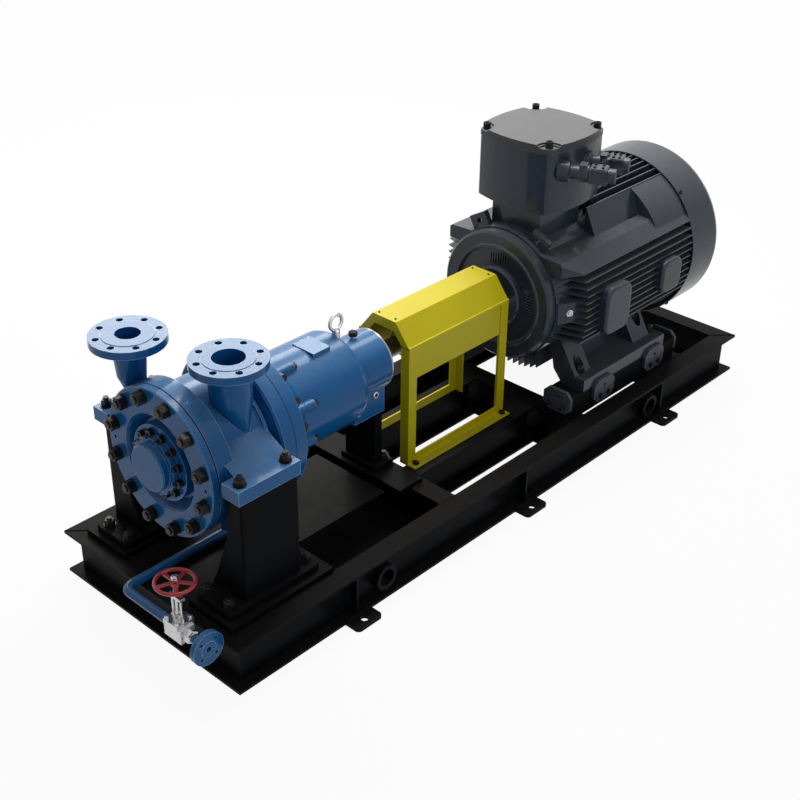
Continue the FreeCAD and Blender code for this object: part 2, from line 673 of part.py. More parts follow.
def hood_outline(t):
    """Hood from ledge to ledge, moved inwards by the sheet's thickness t."""
    lip_y = HOOD_SIDE_Y + LEDGE_W - t
    bottom = LEDGE_Z - LEDGE_DROP - (1 if t else 0)
    half = [(lip_y, bottom), (lip_y, LEDGE_Z - t), (HOOD_SIDE_Y - fold * t, LEDGE_Z - t),
            (HOOD_TOP_Y - fold * t, HOOD_TOP_Z - t)]
    return half + [(-y, z) for y, z in reversed(half)]


hood = prism_x(hood_outline(0), GUARD_X0, GUARD_X1).cut(
    prism_x(hood_outline(SHEET_T), GUARD_X0 - 1, GUARD_X1 + 1))
end_outline = [(HOOD_SIDE_Y - fold * SHEET_T, LEDGE_Z - SHEET_T), (HOOD_TOP_Y - fold * SHEET_T, HOOD_TOP_Z - SHEET_T)]
end_outline += [(-y, z) for y, z in reversed(end_outline)]
inset = HOOD_OPENING_INSET
opening = [(HOOD_SIDE_Y - inset, LEDGE_Z - LEDGE_DROP), (HOOD_SIDE_Y - inset, LEDGE_Z),
           (HOOD_TOP_Y - fold * inset / 2, HOOD_TOP_Z - inset)]
opening += [(-y, z) for y, z in reversed(opening)]
end_plates = [prism_x(end_outline, x, x + SHEET_T).cut(prism_x(opening, x - 1, x + SHEET_T + 1))
              for x in (GUARD_X0, GUARD_X1 - SHEET_T)]
save("guard_hood", union(hood, end_plates))

panel_y = HOOD_SIDE_Y
leg_top = LEDGE_Z - LEDGE_DROP


def angle_leg(x0, x1, x_flange):
    """Upright angle: one flange along the guard and one across it."""
    along = box(x0, x1, -panel_y - ANGLE_T, -panel_y, BEAM_HEIGHT, leg_top)
    across = box(x_flange, x_flange + ANGLE_T, -panel_y - ANGLE_T, -panel_y - ANGLE_T + ANGLE_W, BEAM_HEIGHT, leg_top)
    return along.fuse(across)


rail = box(GUARD_X0, GUARD_X1, -panel_y - ANGLE_W, -panel_y, BEAM_HEIGHT, BEAM_HEIGHT + ANGLE_T)
upstand = box(GUARD_X0, GUARD_X1, -panel_y - ANGLE_T, -panel_y, BEAM_HEIGHT, BEAM_HEIGHT + RAIL_UP)
panel = box(GUARD_X0 + ANGLE_T, GUARD_X1 - ANGLE_T, -panel_y, -panel_y + SHEET_T, PANEL_BOTTOM_Z, leg_top)
side_frame = union(rail, [upstand, panel, angle_leg(GUARD_X0, GUARD_X0 + ANGLE_W, GUARD_X0),
                          angle_leg(GUARD_X1 - ANGLE_W, GUARD_X1, GUARD_X1 - ANGLE_T)])
save("guard_side_near", side_frame)
save("guard_side_far", mirrored(side_frame))

# Motor bearers on the skid, and the plates of the jacking screws beside them
bearer = box(BEARER_X0, BEARER_X1, -MOTOR_FOOT_Y, -BEARER_Y, BEAM_HEIGHT, MOTOR_FOOT_Z)
save("bearer_near", bearer)
save("bearer_far", mirrored(bearer))


def jacking_outline(middle):
    """Plate with four chamfered corners, centred on its jacking screw."""
    half = JACK_PLATE_W / 2
    c = JACK_PLATE_CORNER
    low = [(middle - half, JACK_PLATE_Z0 + c), (middle - half + c, JACK_PLATE_Z0),
           (middle + half - c, JACK_PLATE_Z0), (middle + half, JACK_PLATE_Z0 + c)]
    return low + [(a, JACK_PLATE_Z0 + JACK_PLATE_Z1 - z) for a, z in reversed(low)]


jack_y = -MOTOR_FOOT_Y - JACK_PLATE_T
plates = [prism_y(jacking_outline(x), jack_y, -MOTOR_FOOT_Y).cut(
    cylinder_y(jack_y - 1, 0, JACK_SCREW_R, x, JACK_SCREW_Z)) for x in JACK_PLATE_X]
plates += [prism_x(jacking_outline(-JACK_PLATE_Y), x, x + JACK_PLATE_T).cut(
    cylinder_x(x - 1, x + JACK_PLATE_T + 1, JACK_SCREW_R, -JACK_PLATE_Y, JACK_SCREW_Z))
    for x in (BEARER_X0 - JACK_PLATE_T, BEARER_X1)]
save("jacking_plates", Part.makeCompound(plates + [mirrored(p) for p in plates]))

# Motor frame: round body, shoulders, upright and level fins, feet and bosses
frame = cylinder_x(FRAME_X0, COWL_X0 + FRAME_END_LAP, FRAME_R)
fin_y = math.sqrt(FIN_TIP_R ** 2 - (SIDE_FIN_TOP_Z - SHAFT_Z) ** 2)
shoulder = [(SHOULDER_EDGE_Y, SHOULDER_TOP_Z - 3), (SHOULDER_WALL_Y, SHOULDER_TOP_Z)]
fin_line = [(fin_y, SIDE_FIN_TOP_Z + FIN_T / 2), (fin_y, SIDE_FIN_TOP_Z - FIN_T / 2),
            (SHOULDER_WALL_Y, SIDE_FIN_TOP_Z - FIN_T / 2)]
shoulder_half = [(0, SHOULDER_TOP_Z + 8)] + list(reversed(shoulder)) + fin_line
shoulder_half.append((0, SIDE_FIN_TOP_Z - FIN_T / 2))
upper_half = [(0, SHOULDER_TOP_Z + 30), (WALL_TOP_Y - FIN_T, SHOULDER_TOP_Z + 30), (WALL_TOP_Y - FIN_T, WALL_TOP_Z),
              (WALL_TOP_Y, WALL_TOP_Z), (SHOULDER_WALL_Y, SHOULDER_TOP_Z), (SHOULDER_WALL_Y, SIDE_FIN_TOP_Z),
              (0, SIDE_FIN_TOP_Z)]
pieces = []
for sign in (-1, 1):
    body = prism_x([(sign * y, z) for y, z in shoulder_half], FRAME_X0, COWL_X0)
    corner = prism_z([(FRAME_X0 - 1, sign * SHOULDER_FRONT_Y), (FIN_X0, sign * fin_y), (FIN_X0, sign * (fin_y + 50)),
                      (FRAME_X0 - 1, sign * (fin_y + 50))], SIDE_FIN_TOP_Z - FIN_PITCH, WALL_TOP_Z)
    pieces.append(body.cut(corner))
    pieces.append(prism_x([(sign * y, z) for y, z in upper_half], UPPER_FIN_X0 - 60, COWL_X0))
    bulge = cylinder_x(SHOULDER_STEP_X, COWL_X0, COWL_R - 8)
    y0 = WALL_TOP_Y if sign > 0 else -fin_y
    pieces.append(bulge.common(box(SHOULDER_STEP_X, COWL_X0, y0, y0 + fin_y - WALL_TOP_Y,
                                   SIDE_FIN_TOP_Z, SHAFT_Z + COWL_R)))

for i in range(SIDE_FIN_COUNT):
    z = SIDE_FIN_TOP_Z - i * FIN_PITCH
    reach = min(SIDE_FIN_Y, math.sqrt(FIN_TIP_R ** 2 - (z - SHAFT_Z) ** 2))
    slant = FIN_X0 - 30
    fin = prism_z([(slant, -FRAME_R / 2), (slant, -FRAME_R + 30), (FIN_X0, -reach), (COWL_X0, -reach),
                   (COWL_X0, reach), (FIN_X0, reach), (slant, FRAME_R - 30), (slant, FRAME_R / 2)],
                  z - FIN_T / 2, z + FIN_T / 2)
    pieces.append(fin)
for i in range(UPRIGHT_FIN_COUNT):
    y = (i - (UPRIGHT_FIN_COUNT - 1) / 2) * FIN_PITCH
    top = SHAFT_Z + math.sqrt((FIN_TIP_R - 5) ** 2 - y * y)
    pieces.append(box(UPPER_FIN_X0, COWL_X0, y - FIN_T / 2, y + FIN_T / 2, SHAFT_Z, top))
for i in range(BOTTOM_FIN_COUNT):
    y = (i - (BOTTOM_FIN_COUNT - 1) / 2) * FIN_PITCH
    low = SHAFT_Z - math.sqrt((FIN_TIP_R - 12) ** 2 - y * y)
    pieces.append(box(FIN_X0, COWL_X0, y - FIN_T / 2, y + FIN_T / 2, low, SHAFT_Z))

# Each foot is one long pad under a leaning wall, with two gussets down to its bolts
foot_top = MOTOR_FOOT_Z + MOTOR_FOOT_T
wall_top_y = FOOT_WALL_Y - FOOT_WALL_LEAN
foot_section = [
    (MOTOR_FOOT_INNER_Y, MOTOR_FOOT_Z), (MOTOR_FOOT_Y, MOTOR_FOOT_Z), (MOTOR_FOOT_Y, foot_top),
    (FOOT_WALL_Y, foot_top), (wall_top_y, foot_top + FOOT_WALL_RISE),
    (wall_top_y - FOOT_WALL_T, foot_top + FOOT_WALL_RISE), (FOOT_WALL_Y - FOOT_WALL_T, foot_top)]
gusset_section = [
    (FOOT_WALL_Y - FOOT_WALL_T, foot_top), (FOOT_GUSSET_Y, foot_top),
    (FOOT_GUSSET_TOP_Y, foot_top + FOOT_GUSSET_RISE), (wall_top_y - FOOT_WALL_T, foot_top + FOOT_GUSSET_RISE)]
foot_pockets = [cylinder_z(foot_top, foot_top + FOOT_GUSSET_RISE, FOOT_POCKET_R, x, -y) for x, y in FOOT_BOLT_PLACES]
motor_foot = prism_x([(-y, z) for y, z in foot_section], MOTOR_FOOT_X0, MOTOR_FOOT_X1)
foot_gussets = [prism_x([(-y, z) for y, z in gusset_section], x0, x1).cut(foot_pockets)
                for x0, x1 in FOOT_GUSSET_X]
motor_foot = union(motor_foot, foot_gussets)
pieces += [motor_foot, mirrored(motor_foot)]


def side_box(x_range, y1, z_range):
    """Box cast on the frame's near side, rounded all round its outer face."""
    shape = box(x_range[0], x_range[1], -y1, -FRAME_R + 20, z_range[0], z_range[1])
    across = [e for e in shape.Edges if abs(abs(e.Vertexes[0].Y - e.Vertexes[-1].Y) - y1 + FRAME_R - 20) < 1e-6]
    shape = shape.makeFillet(SIDE_BOX_CORNER_R, across)
    outer = [e for e in shape.Edges if all(abs(v.Y + y1) < 1e-6 for v in e.Vertexes)]
    return shape.makeFillet(SIDE_BOX_ROUND, outer)


# Side boxes cast on the frame, and the earthing bosses near the drive end
boss_y = FRAME_R + 42
boss = prism_z([(FRAME_X0 + 4, 60 - FRAME_R), (FRAME_X0 + 4, -FRAME_R - 4), (FRAME_X0 + 88, -boss_y),
                (FRAME_X0 + 104, -boss_y), (FRAME_X0 + 104, 60 - FRAME_R)], EARTH_BOSS_Z0, EARTH_BOSS_Z1)
for shape in (side_box(LARGE_BOX_X, LARGE_BOX_Y, LARGE_BOX_Z), side_box(SMALL_BOX_X, SMALL_BOX_Y, SMALL_BOX_Z), boss):
    pieces += [shape, mirrored(shape)]

# Lifting lugs beside the terminal box
for angle in (LUG_ANGLE, -LUG_ANGLE):
    lug = box(FRAME_X0 + 18, FRAME_X0 + 18 + LIFT_LUG_T, -LIFT_LUG_HALF, LIFT_LUG_HALF,
              SHAFT_Z + FRAME_R - 60, SHAFT_Z + LUG_RADIUS + LIFT_LUG_OUT)
    lug = lug.cut(cylinder_x(FRAME_X0, FRAME_X0 + 60, LIFT_LUG_HOLE_R, 0, SHAFT_Z + LUG_RADIUS))
    lug.rotate(local(0, 0, SHAFT_Z), X_AXIS, angle)
    pieces.append(lug)
frame = union(frame, pieces)
save("motor_frame", frame)

# Drive-end shield with a raised ring, a recess with slots and a hub
recess_floor = SHIELD_X + SHIELD_RECESS
shield = revolved_x([
    (SHIELD_X - SHIELD_HUB_OUT, SHAFT_R + RUNNING_GAP), (SHIELD_X - SHIELD_HUB_OUT, SHIELD_HUB_R - 6),
    (SHIELD_X - SHIELD_HUB_OUT + 6, SHIELD_HUB_R), (recess_floor, SHIELD_HUB_R), (recess_floor, SHIELD_RING_R - 14),
    (SHIELD_X - 4, SHIELD_RING_R - SHIELD_RIM_W), (SHIELD_X - 4, SHIELD_RING_R), (SHIELD_X + 2, SHIELD_RING_R + 5),
    (SHIELD_X, SHIELD_R - 8), (SHIELD_X + 8, SHIELD_R), (FRAME_X0, SHIELD_R), (FRAME_X0, SHAFT_R + RUNNING_GAP)])
slots = []
for i in range(SLOTS_PER_GROUP):
    y = (i - (SLOTS_PER_GROUP - 1) / 2) * SLOT_PITCH
    slot = box(recess_floor - 1, recess_floor + SLOT_DEPTH, y - SLOT_W / 2, y + SLOT_W / 2,
               SHAFT_Z + math.sqrt(SLOT_R0 ** 2 - y * y), SHAFT_Z + math.sqrt(SLOT_R1 ** 2 - y * y))
    slots += around_shaft(slot, 4, 0)
save("drive_shield", shield.cut(slots))

# Fan cowl: open towards the frame, with ring slots in its rear face
cowl = revolved_x([
    (COWL_X0, COWL_R - COWL_T), (COWL_X0, COWL_R), (COWL_X1 - COWL_ROUND, COWL_R),
    (COWL_X1 - 0.3 * COWL_ROUND, COWL_R - 0.3 * COWL_ROUND), (COWL_X1, COWL_R - COWL_ROUND), (COWL_X1, 0),
    (COWL_X1 - COWL_T, 0), (COWL_X1 - COWL_T, COWL_R - COWL_ROUND), (COWL_X1 - COWL_ROUND, COWL_R - COWL_T)])
spoke = box(COWL_X1 - COWL_T - 1, COWL_X1 + 1, -GRILLE_SPOKE_W / 2, GRILLE_SPOKE_W / 2, SHAFT_Z, SHAFT_Z + COWL_R)
grille = []
for i in range(GRILLE_RINGS):
    r = GRILLE_FIRST_R + i * GRILLE_PITCH
    ring_slot = cylinder_x(COWL_X1 - COWL_T - 1, COWL_X1 + 1, r + GRILLE_SLOT / 2).cut(
        cylinder_x(COWL_X1 - COWL_T - 2, COWL_X1 + 2, r - GRILLE_SLOT / 2))
    grille.append(ring_slot.cut(around_shaft(spoke, GRILLE_SPOKES, 0)))
save("fan_cowl", cowl.cut(grille))


def bowed_wire(x0, x1, y, bulge, z):
    """Rectangle whose four sides bow outwards."""
    corners = [(x0, -y), (x1, -y), (x1, y), (x0, y)]
    middle = (x0 + x1) / 2
    crowns = [(middle, -y - bulge), (x1 + bulge, 0), (middle, y + bulge), (x0 - bulge, 0)]
    edges = []
    for i in range(4):
        a = corners[i]
        b = corners[(i + 1) % 4]
        edges.append(Part.Arc(local(a[0], a[1], z), local(crowns[i][0], crowns[i][1], z),
                              local(b[0], b[1], z)).toShape())
    return Part.Wire(edges)


# Terminal box on its neck, with a screwed lid and two cable glands
lid_z = BOX_Z1 - LID_T


def bowed_block(grow, z0, z1):
    """Block with bowed sides and rounded upright edges."""
    outline = Part.Face(bowed_wire(BOX_X0 - grow, BOX_X1 + grow, BOX_Y + grow, BOX_BULGE, z0))
    block = outline.extrude(V(0, 0, z1 - z0))
    return block.makeFillet(BOX_CORNER_R, upright_edges(block, lambda p: True))


terminal_box = bowed_block(0, BOX_Z0, lid_z)
spot_z = BOX_Z1 - LID_SPOT_DEPTH
screw_z = spot_z + LID_SCREW_HEIGHT
pockets = []
screws = []
sockets = []
for x, inward_x in ((BOX_X0, 1), (BOX_X1, -1)):
    for y, inward_y in ((-BOX_Y, 1), (BOX_Y, -1)):
        pockets.append(cylinder_z(BOX_Z1 - LID_POCKET_DEPTH, BOX_Z1 + 1, LID_POCKET_R, x, y))
        pockets.append(cylinder_z(spot_z, BOX_Z1 + 1, LID_SPOT_R, x, y))
        screw_x = x + inward_x * LID_SCREW_INSET
        screw_y = y + inward_y * LID_SCREW_INSET
        screws.append(cylinder_z(spot_z - 1, screw_z, LID_SCREW_R, screw_x, screw_y))
        corners = [(screw_x + LID_SOCKET_ACROSS / math.sqrt(3) * math.cos(math.radians(60 * i)),
                    screw_y + LID_SOCKET_ACROSS / math.sqrt(3) * math.sin(math.radians(60 * i))) for i in range(6)]
        sockets.append(prism_z(corners, screw_z - LID_SCREW_R, screw_z + 1))
lid = bowed_block(LID_LAP, lid_z, BOX_Z1).cut(pockets)
save("terminal_lid", union(lid, screws).cut(sockets))
neck_z = SHAFT_Z + FRAME_R / 2
terminal_neck = Part.Face(bowed_wire(NECK_BOX_X0, NECK_BOX_X1, NECK_BOX_Y, NECK_BOX_BULGE, neck_z)).extrude(
    V(0, 0, BOX_Z0 - neck_z))
save("terminal_neck", terminal_neck.cut(frame))


def gland(x, scale):
    """Cable gland with a round flange, a hexagon, a clamp and an end ring."""
    start = local(x, -BOX_Y - BOX_BULGE, GLAND_Z)
    inside = 30.0
    steps = ((inside + 10.0, 38.0), (50.0, 24.0), (16.0, 30.0), (68.0, 22.0), (24.0, 26.0))
    parts = []
    at = start - V(inside, 0, 0)
    for length, r in steps:
        parts.append(Part.makeCylinder(r, length * scale, at, X_AXIS))
        at = at + V(length * scale, 0, 0)
    clamp = Part.makeBox(60 * scale, 60, 52, start + V(80 * scale, -30, -26))
    saddle = Part.makeBox(26 * scale, 40, 60, start + V(44 * scale, -20, -26))
    shape = union(parts[0], parts[1:] + [clamp, saddle])
    shape.rotate(start, Z_AXIS, GLAND_ANGLE)
    return shape


save("cable_gland_1", gland(GLAND_X[0], 1.0).cut(terminal_box))
save("cable_gland_2", gland(GLAND_X[1], SECOND_GLAND_SCALE).cut(terminal_box))
save("terminal_box", terminal_box)

# Drain line: pipe over the end beam, valve with yoke, and an end flange
valve_y0 = VALVE_Y - VALVE_HALF
valve_y1 = VALVE_Y + VALVE_HALF
pipe_path = Part.Wire([
    Part.LineSegment(local(DRAIN_X, valve_y1, DRAIN_Z), local(DRAIN_X, DRAIN_Y - BEND_R, DRAIN_Z)).toShape(),
    Part.Arc(local(DRAIN_X, DRAIN_Y - BEND_R, DRAIN_Z),
             local(DRAIN_X + BEND_R * (1 - math.sqrt(0.5)), DRAIN_Y - BEND_R * (1 - math.sqrt(0.5)), DRAIN_Z),
             local(DRAIN_X + BEND_R, DRAIN_Y, DRAIN_Z)).toShape(),
    Part.LineSegment(local(DRAIN_X + BEND_R, DRAIN_Y, DRAIN_Z),
                     local(DRAIN_RISER_X + PIPE_R, DRAIN_Y, DRAIN_Z)).toShape()])
start_circle = Part.Wire(Part.makeCircle(PIPE_R, local(DRAIN_X, valve_y1, DRAIN_Z), Y_AXIS))
run = pipe_path.makePipeShell([start_circle], True, True)
riser = cylinder_z(DRAIN_Z, SHAFT_Z - BARREL_R + 20, PIPE_R, DRAIN_RISER_X, DRAIN_Y)
save("drain_pipe", union(run, [riser]).cut(casing))

bonnet_z = DRAIN_Z + VALVE_BODY_R
bridge_z = YOKE_Z + 2 * YOKE_R
valve = union(box(DRAIN_X - VALVE_BODY_R, DRAIN_X + VALVE_BODY_R, valve_y0, valve_y1,
                  DRAIN_Z - VALVE_BODY_R, bonnet_z - 4),
              [box(DRAIN_X - VALVE_BODY_R - 6, DRAIN_X + VALVE_BODY_R + 6, VALVE_Y - VALVE_BODY_R - 6,
                   VALVE_Y + VALVE_BODY_R + 6, bonnet_z - 4, bonnet_z + BONNET_T),
               cylinder_z(bonnet_z, bonnet_z + 34, 15, DRAIN_X, VALVE_Y),
               cylinder_z(bonnet_z, bridge_z + 1, 6, DRAIN_X, VALVE_Y),
               cylinder_z(bonnet_z, YOKE_Z, YOKE_R, DRAIN_X, VALVE_Y - YOKE_HALF),
               cylinder_z(bonnet_z, YOKE_Z, YOKE_R, DRAIN_X, VALVE_Y + YOKE_HALF),
               box(DRAIN_X - 9, DRAIN_X + 9, VALVE_Y - YOKE_HALF - 8, VALVE_Y + YOKE_HALF + 8, YOKE_Z, bridge_z)])
save("drain_valve", valve)

rim = Part.makeTorus(WHEEL_R, WHEEL_RIM_R, local(DRAIN_X, VALVE_Y, WHEEL_Z), Z_AXIS)
wheel_hub = cylinder_z(WHEEL_Z - 12, WHEEL_Z + 10, 13, DRAIN_X, VALVE_Y)
sleeve = cylinder_z(bridge_z + 1 + 0.3, WHEEL_Z + 18, 8, DRAIN_X, VALVE_Y)
spoke_half = 5.0
wheel_spokes = []
for i in range(WHEEL_SPOKES):
    spoke = box(DRAIN_X, DRAIN_X + WHEEL_R, VALVE_Y - spoke_half, VALVE_Y + spoke_half, WHEEL_Z - 3, WHEEL_Z + 3)
    spoke.rotate(local(DRAIN_X, VALVE_Y, 0), Z_AXIS, 18 + i * 360 / WHEEL_SPOKES)
    wheel_spokes.append(spoke)
save("handwheel", union(rim, [wheel_hub, sleeve] + wheel_spokes))

drain_flange = union(cylinder_y(DRAIN_FLANGE_Y, DRAIN_FLANGE_Y + DRAIN_FLANGE_T, DRAIN_FLANGE_R, DRAIN_X, DRAIN_Z),
                     [cylinder_y(DRAIN_FLANGE_Y + DRAIN_FLANGE_T, valve_y0, PIPE_R, DRAIN_X, DRAIN_Z)])
holes = [cylinder_y(DRAIN_FLANGE_Y - 1, valve_y0, DRAIN_BORE_R, DRAIN_X, DRAIN_Z)]
for i in range(DRAIN_HOLES):
    a = math.radians((i + 0.5) * 360 / DRAIN_HOLES)
    holes.append(cylinder_y(DRAIN_FLANGE_Y - 1, DRAIN_FLANGE_Y + DRAIN_FLANGE_T + 1, DRAIN_HOLE_R,
                            DRAIN_X + DRAIN_PCD / 2 * math.cos(a), DRAIN_Z + DRAIN_PCD / 2 * math.sin(a)))
save("drain_flange", drain_flange.cut(holes))
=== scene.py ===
# %% [markdown]
# # Dressing a magnetic drive pump
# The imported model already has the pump, the motor, the guard and the skid in
# their true places. What it lacks is what the eye looks for on a machine:
# paint with a skin and worn edges, threads on the studs, weld beads, seams
# and small fittings. This lesson adds them one by one, in metres, in the
# model's own frame.

# %% Load the model
import math

import bmesh
import bpy
from mathutils import Matrix, Vector


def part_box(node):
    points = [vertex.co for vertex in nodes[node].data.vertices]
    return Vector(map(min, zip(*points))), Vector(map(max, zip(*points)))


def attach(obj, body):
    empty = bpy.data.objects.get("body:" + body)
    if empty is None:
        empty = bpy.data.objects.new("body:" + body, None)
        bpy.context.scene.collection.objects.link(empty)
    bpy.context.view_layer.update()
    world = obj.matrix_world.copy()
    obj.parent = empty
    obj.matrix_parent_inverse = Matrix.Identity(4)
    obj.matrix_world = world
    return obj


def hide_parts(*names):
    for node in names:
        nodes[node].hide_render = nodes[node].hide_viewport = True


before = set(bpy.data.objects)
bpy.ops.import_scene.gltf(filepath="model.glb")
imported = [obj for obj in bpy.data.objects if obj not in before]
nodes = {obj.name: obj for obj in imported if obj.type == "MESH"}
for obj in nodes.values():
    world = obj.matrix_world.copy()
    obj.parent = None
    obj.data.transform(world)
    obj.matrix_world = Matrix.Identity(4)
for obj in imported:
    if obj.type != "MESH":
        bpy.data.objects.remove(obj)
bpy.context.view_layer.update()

# %% [markdown]
# The drawings of the machine give lengths along the skid from its pump end,
# in millimetres. One helper turns such a place into a point of the frame, so
# every number below can be read straight off a drawing.

# %% Places and directions
MIDDLE_X = 1324.0
SHAFT_Z = 570.0
ALONG, ACROSS, UP = Vector((1, 0, 0)), Vector((0, 1, 0)), Vector((0, 0, 1))


def at(x, y, z):
    """Point of the frame, from millimetres along the skid, across it and up."""
    return Vector(((x - MIDDLE_X) / 1000, y / 1000, z / 1000))


def round_shaft(x, radius, degrees):
    """Point on a circle about the shaft line, with the angle measured from the top."""
    a = math.radians(degrees)
    return at(x, radius * math.sin(a), SHAFT_Z + radius * math.cos(a))


print("shaft line at", tuple(at(MIDDLE_X, 0, SHAFT_Z)))

# %% [markdown]
# Finishes and fasteners are both built from nodes, and adding a node takes
# the same steps each time: make it, set it, then fill or link its inputs.
# These helpers take those steps, so the later cells only say what is built.

# %% Shader helpers
def link(tree, source, target):
    tree.links.new(source, target)


def rgba(value):
    """Colour with full cover; what isn't a colour stays as it is."""
    return (*value, 1.0) if isinstance(value, tuple) else value


def shader_node(tree, kind, values=None, **settings):
    """Adds a node, with its settings, and fills or links its inputs."""
    made = tree.nodes.new(kind)
    for key, value in settings.items():
        setattr(made, key, value)
    for key, value in (values or {}).items():
        if isinstance(value, bpy.types.NodeSocket):
            link(tree, value, made.inputs[key])
        elif value is not None:
            made.inputs[key].default_value = value
    return made


def calc(tree, operation, a, b=None):
    """One step of arithmetic on values or sockets."""
    return shader_node(tree, "ShaderNodeMath", {0: a, 1: b}, operation=operation).outputs[0]


def vector_calc(tree, operation, a, b=None, result="Vector"):
    """One step of arithmetic on vectors or sockets."""
    return shader_node(tree, "ShaderNodeVectorMath", {0: a, 1: b}, operation=operation).outputs[result]


def noise(tree, place, scale, detail):
    """Smooth noise at a place, from 0 to 1."""
    return shader_node(tree, "ShaderNodeTexNoise", {"Vector": place, "Scale": scale, "Detail": detail}).outputs["Fac"]


def blend_colours(tree, factor, first, second):
    """Colour between two others."""
    values = {0: factor, 6: rgba(first), 7: rgba(second)}
    return shader_node(tree, "ShaderNodeMix", values, data_type="RGBA").outputs[2]


def effect_group(name, inputs, outputs):
    """An empty shader group with named sockets, and its two end nodes."""
    group = bpy.data.node_groups.new(name, "ShaderNodeTree")
    for label, value in inputs.items():
        kind = "NodeSocketColor" if isinstance(value, tuple) else "NodeSocketFloat"
        socket = group.interface.new_socket(label, in_out="INPUT", socket_type=kind)
        socket.default_value = rgba(value)
    for label in outputs:
        kind = "NodeSocketColor" if label == "Colour" else "NodeSocketFloat"
        group.interface.new_socket(label, in_out="OUTPUT", socket_type=kind)
    return group, group.nodes.new("NodeGroupInput").outputs, group.nodes.new("NodeGroupOutput").inputs


print("shader helpers ready")

# %% [markdown]
# A finish is never one flat colour. Three effects come back in every paint on this machine: a slow change of tone, a
# paler colour on what faces upwards, which is partly dust and partly a painted sheen of light from above, and a paler
# line along each edge, which is partly rubbed paint and partly a painted highlight. They live in one shader group, so
# each paint only says how much of each it has. The pale edge comes from comparing the true normal with a bevelled
# one, which differs only near an edge.

# %% The coat that all paints share
coat_group, given, result = effect_group(
    "coat_with_wear_and_sheen",
    {"Colour": (0.5, 0.5, 0.5), "Deep tone": (0.4, 0.4, 0.4), "Sheen and dust": (0.6, 0.6, 0.6), "Sheen and dust amount": 0.2,
     "Edge colour": (0.7, 0.7, 0.7), "Edge amount": 0.3, "Roughness": 0.35, "Skin scale": 300.0, "Skin depth": 0.3},
    ("Colour", "Roughness", "Height"))
place = shader_node(coat_group, "ShaderNodeTexCoord").outputs["Object"]
slow = noise(coat_group, place, 4.0, 4.0)
patchy = noise(coat_group, place, 26.0, 6.0)
skin = noise(coat_group, place, given["Skin scale"], 2.0)
shape = shader_node(coat_group, "ShaderNodeNewGeometry")
facing = shader_node(coat_group, "ShaderNodeSeparateXYZ", {"Vector": shape.outputs["Normal"]}).outputs["Z"]
# Up-facing faces turn paler: partly dust, partly a painted sheen of light from above.
upward = shader_node(coat_group, "ShaderNodeMapRange",
                     {"Value": facing, "From Min": 0.55, "From Max": 0.98}).outputs["Result"]
sheen_and_dust = calc(coat_group, "MULTIPLY", calc(coat_group, "MULTIPLY", upward, given["Sheen and dust amount"]),
            calc(coat_group, "ADD", calc(coat_group, "MULTIPLY", patchy, 0.5), 0.7))
# Edges turn paler: partly rubbed paint, partly a painted highlight along every edge.
soft = shader_node(coat_group, "ShaderNodeBevel", {"Radius": 0.0035}, samples=3).outputs["Normal"]
agree = vector_calc(coat_group, "DOT_PRODUCT", soft, shape.outputs["True Normal"], "Value")
edge_wear_and_highlight = shader_node(coat_group, "ShaderNodeMapRange",
                     {"Value": agree, "From Min": 0.96, "From Max": 0.80}).outputs["Result"]
edge_wear_and_highlight = calc(coat_group, "MULTIPLY", calc(coat_group, "MULTIPLY", edge_wear_and_highlight, given["Edge amount"]),
              calc(coat_group, "ADD", patchy, 0.35))
toned = blend_colours(coat_group, slow, given["Colour"], given["Deep tone"])
sheened_and_dusted = blend_colours(coat_group, sheen_and_dust, toned, given["Sheen and dust"])
link(coat_group, blend_colours(coat_group, edge_wear_and_highlight, sheened_and_dusted, given["Edge colour"]), result["Colour"])
uneven = calc(coat_group, "MULTIPLY", calc(coat_group, "SUBTRACT", patchy, 0.5), 0.16)
rough = calc(coat_group, "ADD", given["Roughness"], uneven)
link(coat_group, calc(coat_group, "ADD", rough, calc(coat_group, "MULTIPLY", sheen_and_dust, 0.25)), result["Roughness"])
link(coat_group, calc(coat_group, "MULTIPLY", skin, given["Skin depth"]), result["Height"])
print("group", coat_group.name, "has", len(coat_group.nodes), "nodes")

# %% [markdown]
# Bare metal needs another effect: the fine lines left by a cutting tool or
# by a brush. Noise that is stretched hard along one direction gives them,
# and its light and dark also steer the roughness.

# %% The fine lines of worked metal
line_group, given, result = effect_group(
    "worked_lines", {"Colour": (0.6, 0.6, 0.6), "Deep tone": (0.4, 0.4, 0.4), "Stretch": 12.0, "Roughness": 0.3},
    ("Colour", "Roughness", "Height"))
place = shader_node(line_group, "ShaderNodeTexCoord").outputs["Object"]
spread = shader_node(line_group, "ShaderNodeCombineXYZ", {"X": 900.0, "Y": 60.0, "Z": 60.0}).outputs["Vector"]
lines = noise(line_group, vector_calc(line_group, "MULTIPLY", place, spread), 1.0, 3.0)
blots = noise(line_group, place, given["Stretch"], 5.0)
both = calc(line_group, "ADD", calc(line_group, "MULTIPLY", lines, 0.5), calc(line_group, "MULTIPLY", blots, 0.5))
link(line_group, blend_colours(line_group, both, given["Deep tone"], given["Colour"]), result["Colour"])
uneven = calc(line_group, "MULTIPLY", calc(line_group, "SUBTRACT", both, 0.5), 0.3)
link(line_group, calc(line_group, "ADD", given["Roughness"], uneven), result["Roughness"])
link(line_group, lines, result["Height"])
print("group", line_group.name, "has", len(line_group.nodes), "nodes")

# %% [markdown]
# With the two groups, each finish is a short recipe. Every recipe keeps its
# own Principled shader, because coat, metal and sheen are plain numbers that
# belong to the finish as a whole.

